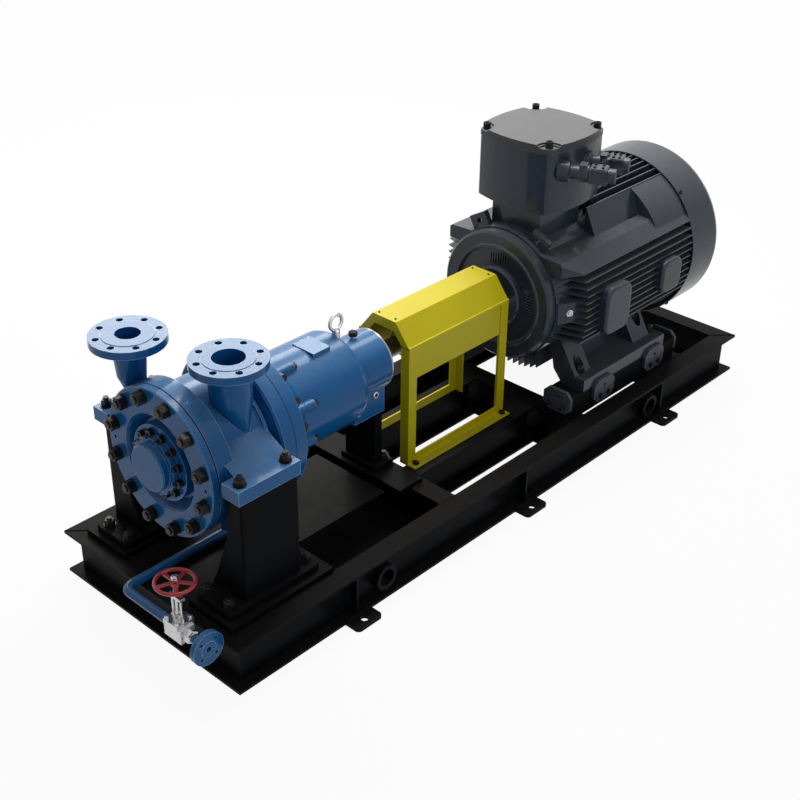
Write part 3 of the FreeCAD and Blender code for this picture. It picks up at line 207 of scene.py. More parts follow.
# %% Recipes for finishes
def finish(name, group, values, bump, bump_distance, **plain):
    """Material with a group's colour, roughness and bump on a Principled shader."""
    material = bpy.data.materials.new(name)
    material.use_nodes = True
    tree = material.node_tree
    shader = tree.nodes["Principled BSDF"]
    effect = tree.nodes.new("ShaderNodeGroup")
    effect.node_tree = group
    for label, value in values.items():
        effect.inputs[label].default_value = rgba(value)
    link(tree, effect.outputs["Colour"], shader.inputs["Base Color"])
    link(tree, effect.outputs["Roughness"], shader.inputs["Roughness"])
    relief = shader_node(tree, "ShaderNodeBump", {"Height": effect.outputs["Height"], "Strength": bump,
                                                  "Distance": bump_distance})
    link(tree, relief.outputs["Normal"], shader.inputs["Normal"])
    for label, value in plain.items():
        shader.inputs[label.replace("_", " ")].default_value = value
    return material


# In every paint below, the paler colour of up-facing faces is partly dust and partly a painted sheen, and the paler
# edge colour is partly wear and partly a painted highlight.
pump_paint = finish("pump_blue_enamel", coat_group, {
    "Colour": (0.006, 0.120, 0.330), "Deep tone": (0.004, 0.082, 0.245), "Sheen and dust": (0.36, 0.55, 0.72),
    "Sheen and dust amount": 0.22, "Edge colour": (0.44, 0.64, 0.80), "Edge amount": 1.0, "Roughness": 0.24,
    "Skin scale": 260.0, "Skin depth": 0.5}, 0.12, 0.001, Coat_Weight=0.24, Coat_Roughness=0.12,
    Specular_IOR_Level=0.08)
motor_paint = finish("motor_slate_enamel", coat_group, {
    "Colour": (0.034, 0.043, 0.059), "Deep tone": (0.025, 0.032, 0.045), "Sheen and dust": (0.165, 0.168, 0.172),
    "Sheen and dust amount": 0.42, "Edge colour": (0.22, 0.24, 0.27), "Edge amount": 0.40, "Roughness": 0.26,
    "Skin scale": 420.0, "Skin depth": 0.6}, 0.10, 0.001, Coat_Weight=0.25, Coat_Roughness=0.07,
    Specular_IOR_Level=0.12)
skid_paint = finish("skid_black_satin", coat_group, {
    "Colour": (0.0045, 0.0050, 0.0062), "Deep tone": (0.0030, 0.0034, 0.0042), "Sheen and dust": (0.060, 0.053, 0.044),
    "Sheen and dust amount": 0.20, "Edge colour": (0.045, 0.046, 0.050), "Edge amount": 0.35, "Roughness": 0.36,
    "Skin scale": 200.0, "Skin depth": 0.5}, 0.12, 0.001, Specular_IOR_Level=0.025)
guard_paint = finish("guard_yellow_enamel", coat_group, {
    "Colour": (0.58, 0.49, 0.006), "Deep tone": (0.50, 0.42, 0.004), "Sheen and dust": (0.92, 0.73, 0.07),
    "Sheen and dust amount": 0.30, "Edge colour": (0.95, 0.72, 0.04), "Edge amount": 0.8, "Roughness": 0.34,
    "Skin scale": 350.0, "Skin depth": 0.35}, 0.1, 0.001, Coat_Weight=0.08, Coat_Roughness=0.18,
    Specular_IOR_Level=0.12)
wheel_paint = finish("handwheel_red_enamel", coat_group, {
    "Colour": (0.42, 0.008, 0.012), "Deep tone": (0.30, 0.005, 0.008), "Sheen and dust": (0.60, 0.16, 0.15),
    "Sheen and dust amount": 0.25, "Edge colour": (0.62, 0.16, 0.14), "Edge amount": 0.3, "Roughness": 0.3,
    "Skin scale": 500.0, "Skin depth": 0.4}, 0.12, 0.001, Coat_Weight=0.3, Coat_Roughness=0.12,
    Specular_IOR_Level=0.25)
plate_paint = finish("jacking_plate_grey", coat_group, {
    "Colour": (0.040, 0.049, 0.064), "Deep tone": (0.030, 0.038, 0.050), "Sheen and dust": (0.26, 0.27, 0.29),
    "Sheen and dust amount": 0.3, "Edge colour": (0.30, 0.32, 0.35), "Edge amount": 0.5, "Roughness": 0.4,
    "Skin scale": 300.0, "Skin depth": 0.4}, 0.1, 0.001, Coat_Weight=0.1, Specular_IOR_Level=0.2)
print("paints:", pump_paint.name, motor_paint.name, skid_paint.name, guard_paint.name)

# %% [markdown]
# The metals use the group of fine lines. Bolts carry a black oxide that is
# worn brown, so they are only partly metallic; the valve and the lifting
# eye are bright. The gasket is not metal at all, but the same lines make a
# good fibre.

# %% Recipes for bare metal
bolt_steel = finish("bolt_black_oxide", line_group, {
    "Colour": (0.028, 0.025, 0.024), "Deep tone": (0.008, 0.0075, 0.0075), "Stretch": 90.0, "Roughness": 0.34},
    0.25, 0.0004, Metallic=0.3, Specular_IOR_Level=0.22)
bright_steel = finish("valve_bright_steel", line_group, {
    "Colour": (0.72, 0.72, 0.72), "Deep tone": (0.34, 0.34, 0.35), "Stretch": 60.0, "Roughness": 0.24},
    0.15, 0.0003, Metallic=1.0)
turned_steel = finish("shaft_turned_steel", line_group, {
    "Colour": (0.42, 0.42, 0.42), "Deep tone": (0.20, 0.20, 0.21), "Stretch": 30.0, "Roughness": 0.3},
    0.2, 0.0003, Metallic=0.95)
seal_black = finish("gasket_black", line_group, {
    "Colour": (0.008, 0.008, 0.009), "Deep tone": (0.004, 0.004, 0.005), "Stretch": 80.0, "Roughness": 0.6},
    0.3, 0.0004, Specular_IOR_Level=0.2)
print("metals:", bolt_steel.name, bright_steel.name, turned_steel.name, "and", seal_black.name)

# %% [markdown]
# The lid of the terminal box is one casting with four sunk screws. The
# casting is painted and the screws are black, so its material looks at how
# far a point is from the nearest screw, and mixes the two finishes there.
# Both x and y are folded over the lid's middle, so one distance serves all
# four corners.

# %% A lid with dark screws
# The lid's paler top is partly dust and partly a painted sheen, and its pale edges are partly a painted highlight.
lid_paint = finish("terminal_lid_enamel", coat_group, {
    "Colour": (0.075, 0.076, 0.080), "Deep tone": (0.055, 0.056, 0.060), "Sheen and dust": (0.30, 0.295, 0.29),
    "Sheen and dust amount": 0.42, "Edge colour": (0.30, 0.30, 0.31), "Edge amount": 0.3, "Roughness": 0.38,
    "Skin scale": 520.0, "Skin depth": 0.7}, 0.14, 0.001, Coat_Weight=0.05, Coat_Roughness=0.3,
    Specular_IOR_Level=0.1)
low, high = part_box("terminal_lid")
SCREW_AT, SCREW_R = 0.138, 0.0136
tree = lid_paint.node_tree
place = shader_node(tree, "ShaderNodeTexCoord").outputs["Object"]
apart = vector_calc(tree, "SUBTRACT", place, (low + high) / 2)
corner = vector_calc(tree, "ABSOLUTE", apart)
offset = vector_calc(tree, "SUBTRACT", corner, (SCREW_AT, SCREW_AT, 0))
flat = vector_calc(tree, "MULTIPLY", offset, (1, 1, 0))
away = vector_calc(tree, "LENGTH", flat, result="Value")
on_screw = calc(tree, "LESS_THAN", away, SCREW_R)
shader = tree.nodes["Principled BSDF"]
painted = shader.inputs["Base Color"].links[0].from_socket
SCREW_BLACK = (0.014, 0.014, 0.016)
link(tree, blend_colours(tree, on_screw, painted, SCREW_BLACK), shader.inputs["Base Color"])
print("screws sit", SCREW_AT, "from the lid's middle both ways")

# %% [markdown]
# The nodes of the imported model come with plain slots. Each one gets the
# finish of the part that it is; what isn't in the table is skid steel.

# %% Give every node its finish
coats = {
    pump_paint: ("casing", "front_cover", "bearing_cap", "drive_housing", "housing_pad", "drain_pipe",
                 "drain_flange"),
    motor_paint: ("motor_frame", "drive_shield", "fan_cowl", "terminal_box", "terminal_neck", "cable_gland_1",
                  "cable_gland_2"),
    lid_paint: ("terminal_lid",),
    guard_paint: ("guard_hood", "guard_side_near", "guard_side_far"),
    wheel_paint: ("handwheel",),
    plate_paint: ("jacking_plates",),
    bright_steel: ("drain_valve", "lifting_eye"),
    bolt_steel: ("cover_nuts",),
    turned_steel: ("pump_shaft", "motor_shaft", "coupling_hub_pump", "coupling_hub_motor", "coupling_spacer"),
}
finish_of = {name: material for material, names in coats.items() for name in names}
for name, node in nodes.items():
    for slot in node.material_slots:
        slot.material = finish_of.get(name, skid_paint)
print("painted", len(nodes), "nodes,", sum(name not in finish_of for name in nodes), "of them as skid steel")

# %% [markdown]
# Now the pieces that repeat. Geometry Nodes suit them, because one tree
# with named sizes serves every fastener on the machine. A tree takes loose
# points with a direction each, stands a copy on every point, and ends in
# real mesh. The helper class below keeps the building of a tree readable.

# %% A small builder for node trees
class Tree:
    """Geometry-node tree with named sizes and a material as its inputs."""

    def __init__(self, name, **sizes):
        self.group = bpy.data.node_groups.new(name, "GeometryNodeTree")
        face = self.group.interface
        face.new_socket("Geometry", in_out="INPUT", socket_type="NodeSocketGeometry")
        for label, value in sizes.items():
            kind = "NodeSocketInt" if isinstance(value, int) else "NodeSocketFloat"
            face.new_socket(label, in_out="INPUT", socket_type=kind).default_value = value
        face.new_socket("Material", in_out="INPUT", socket_type="NodeSocketMaterial")
        face.new_socket("Geometry", in_out="OUTPUT", socket_type="NodeSocketGeometry")
        self.given = self.group.nodes.new("NodeGroupInput").outputs

    def add(self, kind, values=None, **settings):
        return shader_node(self.group, kind, values, **settings).outputs

    def calc(self, operation, a, b=None):
        return calc(self.group, operation, a, b)

    def joined(self, *parts):
        made = self.group.nodes.new("GeometryNodeJoinGeometry")
        for part in reversed(parts):
            self.group.links.new(part, made.inputs["Geometry"])
        return made.outputs["Geometry"]

    def moved(self, part, z):
        """Part moved up its own axis."""
        shift = self.add("ShaderNodeCombineXYZ", {"Z": z})["Vector"]
        return self.add("GeometryNodeTransform", {"Geometry": part, "Translation": shift})["Geometry"]

    def drum(self, sides, radius, height, z):
        """Closed drum that starts at height z on the axis."""
        made = self.add("GeometryNodeMeshCylinder", {"Vertices": sides, "Radius": radius, "Depth": height})["Mesh"]
        return self.moved(made, self.calc("ADD", z, self.calc("MULTIPLY", height, 0.5)))

    def aimed(self):
        """Rotation that turns a part to each point's own direction."""
        aim = self.add("GeometryNodeInputNamedAttribute", {"Name": "axis"}, data_type="FLOAT_VECTOR")["Attribute"]
        return self.add("FunctionNodeAlignRotationToVector", {"Vector": aim}, axis="Z")["Rotation"]

    def chance(self, low, high, seed):
        """Number by chance for each point, from a fixed seed."""
        return self.add("FunctionNodeRandomValue", {2: low, 3: high, "Seed": seed}, data_type="FLOAT")[1]

    def stood(self, part):
        """Copy of the part on every point, turned to the point's own direction and spun by chance."""
        spin = self.add("FunctionNodeAxisAngleToRotation",
                        {"Axis": (0, 0, 1), "Angle": self.chance(0.0, math.tau, 7)})["Rotation"]
        turn = self.add("FunctionNodeRotateRotation", {"Rotation": self.aimed(), "Rotate By": spin},
                        rotation_space="LOCAL")["Rotation"]
        return self.add("GeometryNodeInstanceOnPoints",
                        {"Points": self.given["Geometry"], "Instance": part, "Rotation": turn})["Instances"]

    def done(self, part):
        """Ends the tree with real mesh in the given material, and returns its group."""
        real = self.add("GeometryNodeRealizeInstances", {"Geometry": part})["Geometry"]
        coated = self.add("GeometryNodeSetMaterial",
                          {"Geometry": real, "Material": self.given["Material"]})["Geometry"]
        end = self.group.nodes.new("NodeGroupOutput")
        self.group.links.new(coated, end.inputs["Geometry"])
        print("tree", self.group.name, "has", len(self.group.nodes), "nodes")
        return self.group


print("tree builder ready")

# %% [markdown]
# A tree is only a recipe. To get a piece, its base points are given to it
# as a modifier, the result is read back as a plain mesh, and the holder is
# thrown away. Every piece then names the body that it moves with.

# %% Turning a tree into a piece
SHARP_DEGREES = 32


def piece(name, mesh, material, body, slot):
    """Object of a finished mesh that rides on a body."""
    made = bpy.data.objects.new(name, mesh)
    bpy.context.collection.objects.link(made)
    if material.name not in [m.name for m in mesh.materials if m]:
        mesh.materials.clear()
        mesh.materials.append(material)
    mesh.shade_smooth()
    mesh.set_sharp_from_angle(angle=math.radians(SHARP_DEGREES))
    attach(made, body)
    return made


def seats(places):
    """Mesh of loose points, each with the direction in which its fastener stands."""
    mesh = bpy.data.meshes.new("seats")
    mesh.from_pydata([point for point, _ in places], [], [])
    aims = mesh.attributes.new("axis", "FLOAT_VECTOR", "POINT")
    for item, (_, aim) in zip(aims.data, places):
        item.vector = aim
    return mesh


def grown(name, group, base, material, body, slot, **sizes):
    """Runs a tree on a base mesh, and keeps the result as a plain mesh."""
    holder = bpy.data.objects.new(name + "_base", base)
    bpy.context.collection.objects.link(holder)
    modifier = holder.modifiers.new("grow", "NODES")
    modifier.node_group = group
    for item in group.interface.items_tree:
        if item.item_type == "SOCKET" and item.in_out == "INPUT":
            if item.name == "Material":
                modifier[item.identifier] = material
            elif item.name in sizes:
                modifier[item.identifier] = sizes[item.name]
    seen = holder.evaluated_get(bpy.context.evaluated_depsgraph_get())
    mesh = bpy.data.meshes.new_from_object(seen)
    bpy.data.objects.remove(holder)
    print(name, "has", len(mesh.polygons), "faces")
    return piece(name, mesh, material, body, slot)


def reach_mm(made, axis):
    """Lowest and highest place of a piece along one axis, in millimetres."""
    places = [corner.co[axis] * 1000 for corner in made.data.vertices]
    return round(min(places), 1), round(max(places), 1)


print("edges sharper than", SHARP_DEGREES, "degrees stay crisp")

# %% [markdown]
# A nut on a stud is a washer, a hexagon with rubbed-off corners, and the
# thread that sticks out of it. The thread is a drum with many rings, where
# every second ring is drawn in a little: from a step away that reads as a
# thread, at a fraction of the faces of a true helix.

# %% The tree for nuts and hexagon heads
hexes = Tree("hexagon_fastener", Across=0.036, Height=0.027, Washer=0.03, Thickness=0.003, Stud=0.012, Proud=0.006,
             Pitch=0.0035)
g = hexes.given
corner_r = hexes.calc("MULTIPLY", g["Across"], 1 / math.sqrt(3))
washer = hexes.drum(24, g["Washer"], g["Thickness"], 0.0)
low_part = hexes.calc("MULTIPLY", g["Height"], 0.88)
hexagon = hexes.drum(6, corner_r, low_part, g["Thickness"])
cap = hexes.add("GeometryNodeMeshCone", {
    "Vertices": 6, "Radius Bottom": corner_r, "Radius Top": hexes.calc("MULTIPLY", corner_r, 0.84),
    "Depth": hexes.calc("MULTIPLY", g["Height"], 0.12)})["Mesh"]
cap = hexes.moved(cap, hexes.calc("ADD", g["Thickness"], low_part))
length = hexes.calc("ADD", hexes.calc("ADD", g["Thickness"], g["Height"]), g["Proud"])
rings = hexes.calc("MAXIMUM", hexes.calc("MULTIPLY", hexes.calc("DIVIDE", length, g["Pitch"]), 2.0), 2.0)
stud = hexes.add("GeometryNodeMeshCylinder", {
    "Vertices": 16, "Side Segments": rings, "Radius": g["Stud"], "Depth": length})["Mesh"]
where = hexes.add("GeometryNodeInputPosition")["Position"]
height = hexes.add("ShaderNodeSeparateXYZ", {"Vector": where})["Z"]
step = hexes.calc("DIVIDE", length, rings)
level = hexes.calc("ROUND", hexes.calc("DIVIDE", hexes.calc("ADD", height, hexes.calc(
    "MULTIPLY", length, 0.5)), step))
valley = hexes.calc("FLOORED_MODULO", level, 2.0)
narrow = hexes.calc("SUBTRACT", 1.0, hexes.calc("MULTIPLY", valley, 0.1))
drawn_in = hexes.add("ShaderNodeVectorMath", {0: where, 1: hexes.add("ShaderNodeCombineXYZ", {
    "X": narrow, "Y": narrow, "Z": 1.0})["Vector"]}, operation="MULTIPLY")["Vector"]
stud = hexes.add("GeometryNodeSetPosition", {"Geometry": stud, "Position": drawn_in})["Geometry"]
stud = hexes.moved(stud, hexes.calc("MULTIPLY", length, 0.5))
hex_tree = hexes.done(hexes.stood(hexes.joined(washer, hexagon, cap, stud)))

# %% [markdown]
# Twelve big nuts hold the cover on its studs, and twelve small hexagon
# screws hold the bearing cap in the recess. Both sets are circles about the
# shaft line, so their seats come from one formula. The model has plain
# nuts on the cover for collision, and the dressed ones stand in for them.

# %% Nuts of the front cover and screws of the bearing cap
PUMPWARD, MOTORWARD = -ALONG, ALONG
COVER_X, COVER_CIRCLE_R, CAP_FLANGE_X, CAP_CIRCLE_R, STUDS = 95.0, 210.0, 98.0, 99.0, 12


def circle(x, radius, count, aim, first=0.5):
    """Places on a circle about the shaft line; first is the first one's angle, in steps."""
    return [(round_shaft(x, radius, (i + first) * 360 / count), aim) for i in range(count)]


def bolts(name, places, **sizes):
    """Dark hexagon fasteners that stand still with the skid."""
    return grown(name, hex_tree, seats(places), bolt_steel, "skid", "dark_fasteners", **sizes)


cover_nuts = bolts("cover_stud_nuts", circle(COVER_X, COVER_CIRCLE_R, STUDS, PUMPWARD),
                   Across=0.038, Height=0.026, Washer=0.0235, Thickness=0.002, Stud=0.0125, Proud=0.0045)
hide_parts("cover_nuts")
bolts("cap_screws", circle(CAP_FLANGE_X, CAP_CIRCLE_R, STUDS, PUMPWARD),
      Across=0.023, Height=0.014, Washer=0.0138, Thickness=0.002, Stud=0.005, Proud=0.0)

# %% [markdown]
# The drive housing is bolted to the casing through sixteen pockets, and
# eight long bosses carry smaller bolts. Here the fasteners look the other
# way, towards the motor, so only their direction changes.

# %% Nuts and bolts of the drive housing
POCKET_X, POCKET_CIRCLE_R, POCKETS = 460.0, 209.0, 16
BOSS_X, BOSS_CIRCLE_R, BOSSES = 567.0, 169.0, 8
bolts("housing_nuts", circle(POCKET_X, POCKET_CIRCLE_R, POCKETS, MOTORWARD),
      Across=0.032, Height=0.022, Washer=0.0195, Thickness=0.002, Stud=0.010, Proud=0.008)
bolts("boss_bolts", circle(BOSS_X, BOSS_CIRCLE_R, BOSSES, MOTORWARD),
      Across=0.022, Height=0.013, Washer=0.013, Thickness=0.0015, Stud=0.005, Proud=0.0)

# %% [markdown]
# The machine stands on its skid through three kinds of bolts: through the
# casing's feet, through the plates under the two pedestals and the rear
# support, and through the motor's feet. The motor's front bolts sit in
# pockets between the foot's gussets.

# %% Fasteners that hold the machine to its skid
CASING_FEET, CASING_FOOT_Z = ((140, 308), (313, 308)), 617.0
PEDESTAL_BOLTS, PEDESTAL_Z = ((88, 190), (88, 290), (395, 190), (395, 290)), 205.0
SUPPORT_BOLTS, SUPPORT_Z = ((983, 58),), 195.0
MOTOR_FEET, MOTOR_FOOT_Z = ((1784, 283), (2178, 252), (2232, 282)), 300.0
BOTH_SIDES = (-1, 1)


def upright(spots, z):
    """Places for fasteners that stand up, near and far for each spot."""
    return [(at(x, side * y, z), UP) for x, y in spots for side in BOTH_SIDES]


bolts("casing_foot_nuts", upright(CASING_FEET, CASING_FOOT_Z),
      Across=0.029, Height=0.019, Washer=0.020, Thickness=0.003, Stud=0.009, Proud=0.010)
bolts("pedestal_bolts", upright(PEDESTAL_BOLTS, PEDESTAL_Z) + upright(SUPPORT_BOLTS, SUPPORT_Z),
      Across=0.030, Height=0.018, Washer=0.020, Thickness=0.003, Stud=0.009, Proud=0.008)
bolts("motor_foot_bolts", upright(MOTOR_FEET, MOTOR_FOOT_Z),
      Across=0.034, Height=0.022, Washer=0.0215, Thickness=0.003, Stud=0.010, Proud=0.006)

# %% [markdown]
# Smaller bolts hold the guard's rails to the skid and the coupling's
# flanges together. The coupling turns, so its bolts ride on the rotor.

# %% Bolts of guard and coupling
GUARD_FEET, RAIL_Z = ((1068, 131), (1537, 131)), 165
PUMP_HUB_X, MOTOR_HUB_X, HUB_CIRCLE_R, HUB_BOLTS = 1170.0, 1415.0, 54.0, 8
bolts("guard_foot_bolts", upright(GUARD_FEET, RAIL_Z),
      Across=0.017, Height=0.009, Washer=0.012, Thickness=0.0015, Stud=0.004, Proud=0.002)
rings_of_bolts = circle(PUMP_HUB_X, HUB_CIRCLE_R, HUB_BOLTS, PUMPWARD, first=0)
rings_of_bolts += circle(MOTOR_HUB_X, HUB_CIRCLE_R, HUB_BOLTS, MOTORWARD, first=0)
grown("coupling_bolts", hex_tree, seats(rings_of_bolts), bolt_steel, "rotor", "shaft_steel",
      Across=0.011, Height=0.007, Washer=0.0065, Thickness=0.001, Stud=0.003, Proud=0.002)

# %% [markdown]
# Each jacking plate is held to the end or the side of a bearer by two
# bolts low down, below the hole of the jacking screw. The plates look four
# ways, so the direction of every bolt is that of its own plate.

# %% Bolts of the jacking plates
JACK_Z = 203.0
SIDE_PLATE_Y, SIDE_PLATE_BOLTS_X = 354, (1838, 1888, 2166, 2216)
END_PLATES, END_PLATE_BOLTS_Y = ((1665, PUMPWARD), (2352, MOTORWARD)), (245, 308)
jack_seats = []
for side in BOTH_SIDES:
    jack_seats += [(at(x, side * SIDE_PLATE_Y, JACK_Z), side * ACROSS) for x in SIDE_PLATE_BOLTS_X]
    jack_seats += [(at(x, side * y, JACK_Z), outward) for x, outward in END_PLATES for y in END_PLATE_BOLTS_Y]
bolts("jacking_plate_bolts", jack_seats,
      Across=0.017, Height=0.010, Washer=0.0115, Thickness=0.0015, Stud=0.004, Proud=0.0)

# %% [markdown]
# Small screws with a socket are a second kind of fastener: a low drum with
# a chamfered rim and a sunk hole. Extruding the top face three times does
# it: up and inwards for the chamfer, inwards for the flat rim, and down for
# the hole. The result is one closed skin, and no Boolean can go wrong.

# %% The tree for socket screws
sockets = Tree("socket_screw", Radius=0.006, Height=0.005)
g = sockets.given
screw = sockets.drum(18, g["Radius"], sockets.calc("MULTIPLY", g["Height"], 0.8), 0.0)
facing = sockets.add("GeometryNodeInputNormal")["Normal"]
top = sockets.calc("GREATER_THAN", sockets.add("ShaderNodeSeparateXYZ", {"Vector": facing})["Z"], 0.9)
for rise, narrower in ((0.2, 0.86), (0.0, 0.62), (-0.5, 1.0)):
    grow = sockets.add("GeometryNodeExtrudeMesh", {
        "Mesh": screw, "Selection": top, "Offset Scale": sockets.calc("MULTIPLY", g["Height"], rise)})
    top = grow["Top"]
    screw = sockets.add("GeometryNodeScaleElements", {
        "Geometry": grow["Mesh"], "Selection": top, "Scale": narrower})["Geometry"]
socket_tree = sockets.done(sockets.stood(screw))

# %% [markdown]
# These screws close the guard's hood at its four corners, and hold the fan
# cowl to the motor's frame. The cowl's screws stand square to its round
# wall, so each one points away from the shaft line.

# %% Screws of the hood and the fan cowl
HOOD_TOP_Z = 697
hood_top = [(at(x, y, HOOD_TOP_Z), UP) for x in (1059, 1537) for y in (38, -36)]
grown("hood_screws", socket_tree, seats(hood_top), bolt_steel, "skid", "dark_fasteners", Radius=0.0038, Height=0.003)
COWL_SCREW_X, COWL_R = 2428.0, 334.0
cowl_seats = []
for degrees in (45.0, 135.0, 225.0, 315.0):
    spot = round_shaft(COWL_SCREW_X, COWL_R, degrees)
    cowl_seats.append((spot, (spot - at(COWL_SCREW_X, 0, SHAFT_Z)).normalized()))
grown("cowl_screws", socket_tree, seats(cowl_seats), bolt_steel, "skid", "dark_fasteners", Radius=0.008, Height=0.005)

# %% [markdown]
# Turned pieces come off a lathe, and the helper below works like one: a
# profile of distances along an axis and radii is turned about that axis. A
# radius of nothing closes the end with a fan of triangles, and a profile
# that is told to close makes a ring.

# %% A small lathe
def turned(profile, start, axis, sides=48, ring=False):
    """Mesh of a profile of (length, radius) in millimetres, turned about an axis."""
    along = Vector(axis).normalized()
    turn = along.to_track_quat("Z", "Y")
    points, faces, rows = [], [], []
    for length, radius in profile:
        if radius == 0:
            rows.append([len(points)])
            points.append(start + turn @ Vector((0, 0, length / 1000)))
            continue
        rows.append(list(range(len(points), len(points) + sides)))
        for i in range(sides):
            a = i * math.tau / sides
            points.append(start + turn @ (Vector((radius * math.cos(a), radius * math.sin(a), length)) / 1000))
    pairs = list(zip(rows, rows[1:])) + ([(rows[-1], rows[0])] if ring else [])
    for lower, upper in pairs:
        for i in range(sides):
            j = (i + 1) % sides
            corners = [lower[i % len(lower)], lower[j % len(lower)], upper[j % len(upper)], upper[i % len(upper)]]
            faces.append(list(dict.fromkeys(corners)))
    mesh = bpy.data.meshes.new("turned")
    mesh.from_pydata([tuple(p) for p in points], [], faces)
    shape = bmesh.new()
    shape.from_mesh(mesh)
    bmesh.ops.recalc_face_normals(shape, faces=shape.faces)
    shape.to_mesh(mesh)
    shape.free()
    return mesh


def together(*meshes):
    """One mesh of several."""
    shape = bmesh.new()
    for mesh in meshes:
        shape.from_mesh(mesh)
        bpy.data.meshes.remove(mesh)
    made = bpy.data.meshes.new("together")
    shape.to_mesh(made)
    shape.free()
    return made


print("lathe ready")

# %% [markdown]
# Where two castings meet, the flange joint shows as a thin dark line: the
# edge of the gasket, a hair wider than the flanges. Two rings make the
# joints of cover to casing and of casing to drive housing.

# %% Gaskets between the flanges
def gasket(x, flange_r):
    """Thin ring that sinks 4 mm into the joint and stands 0.35 mm out of it."""
    inner, outer, half = flange_r - 4.0, flange_r + 0.35, 1.3
    return turned([(-half, inner), (-half, outer), (half, outer), (half, inner)],
                  at(x, 0, SHAFT_Z), ALONG, sides=128, ring=True)


joints = piece("flange_gaskets", together(gasket(122.0, 241.0), gasket(414.0, 246.0)), seal_black, "skid",
               "dark_fasteners")
print("gasket faces:", len(joints.data.polygons))

# %% [markdown]
# The mouth of the drive housing ends in a bright machined ring around the
# shaft. A filler cap stands on the neck beside the guard: a short bright
# stem and a dark knob with a waist, both from the lathe.

# %% Mouth ring and filler cap
MOUTH_X, FILLER_X, FILLER_Z = 973.8, 896, 673.0
mouth = turned([(0, 92), (0, 104), (1, 105.2), (6, 105.2), (7.2, 104), (7.2, 92)],
               at(MOUTH_X, 0, SHAFT_Z), ALONG, sides=96, ring=True)
piece("mouth_ring", mouth, turned_steel, "skid", "shaft_steel")
cap_stem = turned([(0, 0), (0, 9), (8, 9), (8, 12), (12, 12), (12, 0)], at(FILLER_X, 0, FILLER_Z), UP, 32)
piece("filler_stem", cap_stem, bright_steel, "skid", "stainless")
cap_knob = turned([(0, 0), (0, 13), (1.5, 15), (6, 15), (7.5, 13.5), (9, 15), (13, 15), (15.5, 12), (16, 0)],
                  at(FILLER_X, 0, FILLER_Z + 12), UP, 40)
knob = piece("filler_knob", cap_knob, seal_black, "skid", "dark_fasteners")
print("filler cap up to", reach_mm(knob, 2)[1], "mm above the floor")

# %% [markdown]
# A round sight plug sits low on the housing's foot: a bright ring around a
# dark glass. The glass is a separate shallow disc, so each piece has one
# finish.

# %% Sight plug
plug_seat = at(917, -80.0, 485.5)
plug = turned([(0, 0), (0, 12), (4.5, 12), (6, 10.5), (6, 7.5), (3.5, 7), (3.5, 0)], plug_seat, -ACROSS, 36)
piece("sight_ring", plug, bright_steel, "skid", "stainless")
glass = turned([(3.4, 0), (3.4, 6.8), (4.4, 6.6), (4.8, 4), (4.9, 0)], plug_seat, -ACROSS, 36)
piece("sight_glass", glass, seal_black, "skid", "stainless")
print("sight plug at", [round(v, 3) for v in plug_seat])

# %% [markdown]
# The drain valve is the brightest thing on the skid, and small parts make
# it read as a valve: four bonnet bolts, a gland nut around the stem, a
# union nut on the pipe side and a raised face on its flange.

# %% Details of the drain valve
VALVE_X, VALVE_Y, PIPE_Z, FLANGE_FACE_Y = -56.0, -235.0, 178.0, -367
BONNET_Z, GLAND_Z, STEM_Z, WHEEL_TOP_Z = 216, 228, 238, 358
bonnet = [(at(VALVE_X + x, VALVE_Y + y, BONNET_Z), UP) for x in (-24, 24) for y in (-24, 24)]
grown("bonnet_bolts", hex_tree, seats(bonnet), bright_steel, "skid", "stainless",
      Across=0.012, Height=0.007, Washer=0.0075, Thickness=0.001, Stud=0.003, Proud=0.002)
grown("gland_nut", hex_tree, seats([(at(VALVE_X, VALVE_Y, GLAND_Z), UP)]), bright_steel, "skid", "stainless",
      Across=0.034, Height=0.008, Washer=0.018, Thickness=0.001, Stud=0.0075, Proud=0.006, Pitch=0.002)
grown("union_nut", hex_tree, seats([(at(VALVE_X, -273, PIPE_Z), -ACROSS)]), bright_steel, "skid", "stainless",
      Across=0.038, Height=0.022, Washer=0.0195, Thickness=0.003, Stud=0.0165, Proud=0.003, Pitch=0.003)
stem = turned([(0, 0), (0, 4.2)] + [(2 + i * 2, 4.2 - 0.7 * (i % 2)) for i in range(28)] + [(60, 4.2), (60, 0)],
              at(VALVE_X, VALVE_Y, STEM_Z), UP, 20)
thread = piece("valve_stem", stem, turned_steel, "skid", "stainless")
face = turned([(0, 10), (0, 27), (-1.5, 26), (-1.5, 10)], at(VALVE_X, FLANGE_FACE_Y, PIPE_Z), ACROSS, 48, ring=True)
piece("drain_raised_face", face, pump_paint, "skid", "pump_blue")
print("valve stem between", reach_mm(thread, 2), "mm above the floor")

# %% [markdown]
# The handwheel is held by a bright nut on top of its hub. It turns with
# the wheel, so it rides on the handwheel's body.

# %% Nut of the handwheel
wheel_seat = seats([(at(VALVE_X, VALVE_Y, WHEEL_TOP_Z), UP)])
wheel_nut = grown("handwheel_nut", hex_tree, wheel_seat, bright_steel, "handwheel", "stainless",
                  Across=0.019, Height=0.009, Washer=0.0115, Thickness=0.0015, Stud=0.004, Proud=0.003)
print("valve with its handwheel stands", reach_mm(wheel_nut, 2)[1], "mm high")

# %% [markdown]
# Each earthing boss near the motor's drive end carries a bright bolt, and
# the near one catches the light in most views. Its seat is the boss's
# slanted face, so the direction is worked out from that face.

# %% Earthing bolts
EARTH_X, EARTH_Y, EARTH_Z, OFF_THE_FACE = 1711, 273, 565, 0.0005
earth_seats = []
for side in BOTH_SIDES:
    slant = Vector((-38, side * 84, 0)).normalized()
    earth_seats.append((at(EARTH_X, side * EARTH_Y, EARTH_Z) + slant * OFF_THE_FACE, slant))
grown("earthing_bolts", hex_tree, seats(earth_seats), bright_steel, "skid", "stainless",
      Across=0.016, Height=0.009, Washer=0.013, Thickness=0.002, Stud=0.004, Proud=0.0)

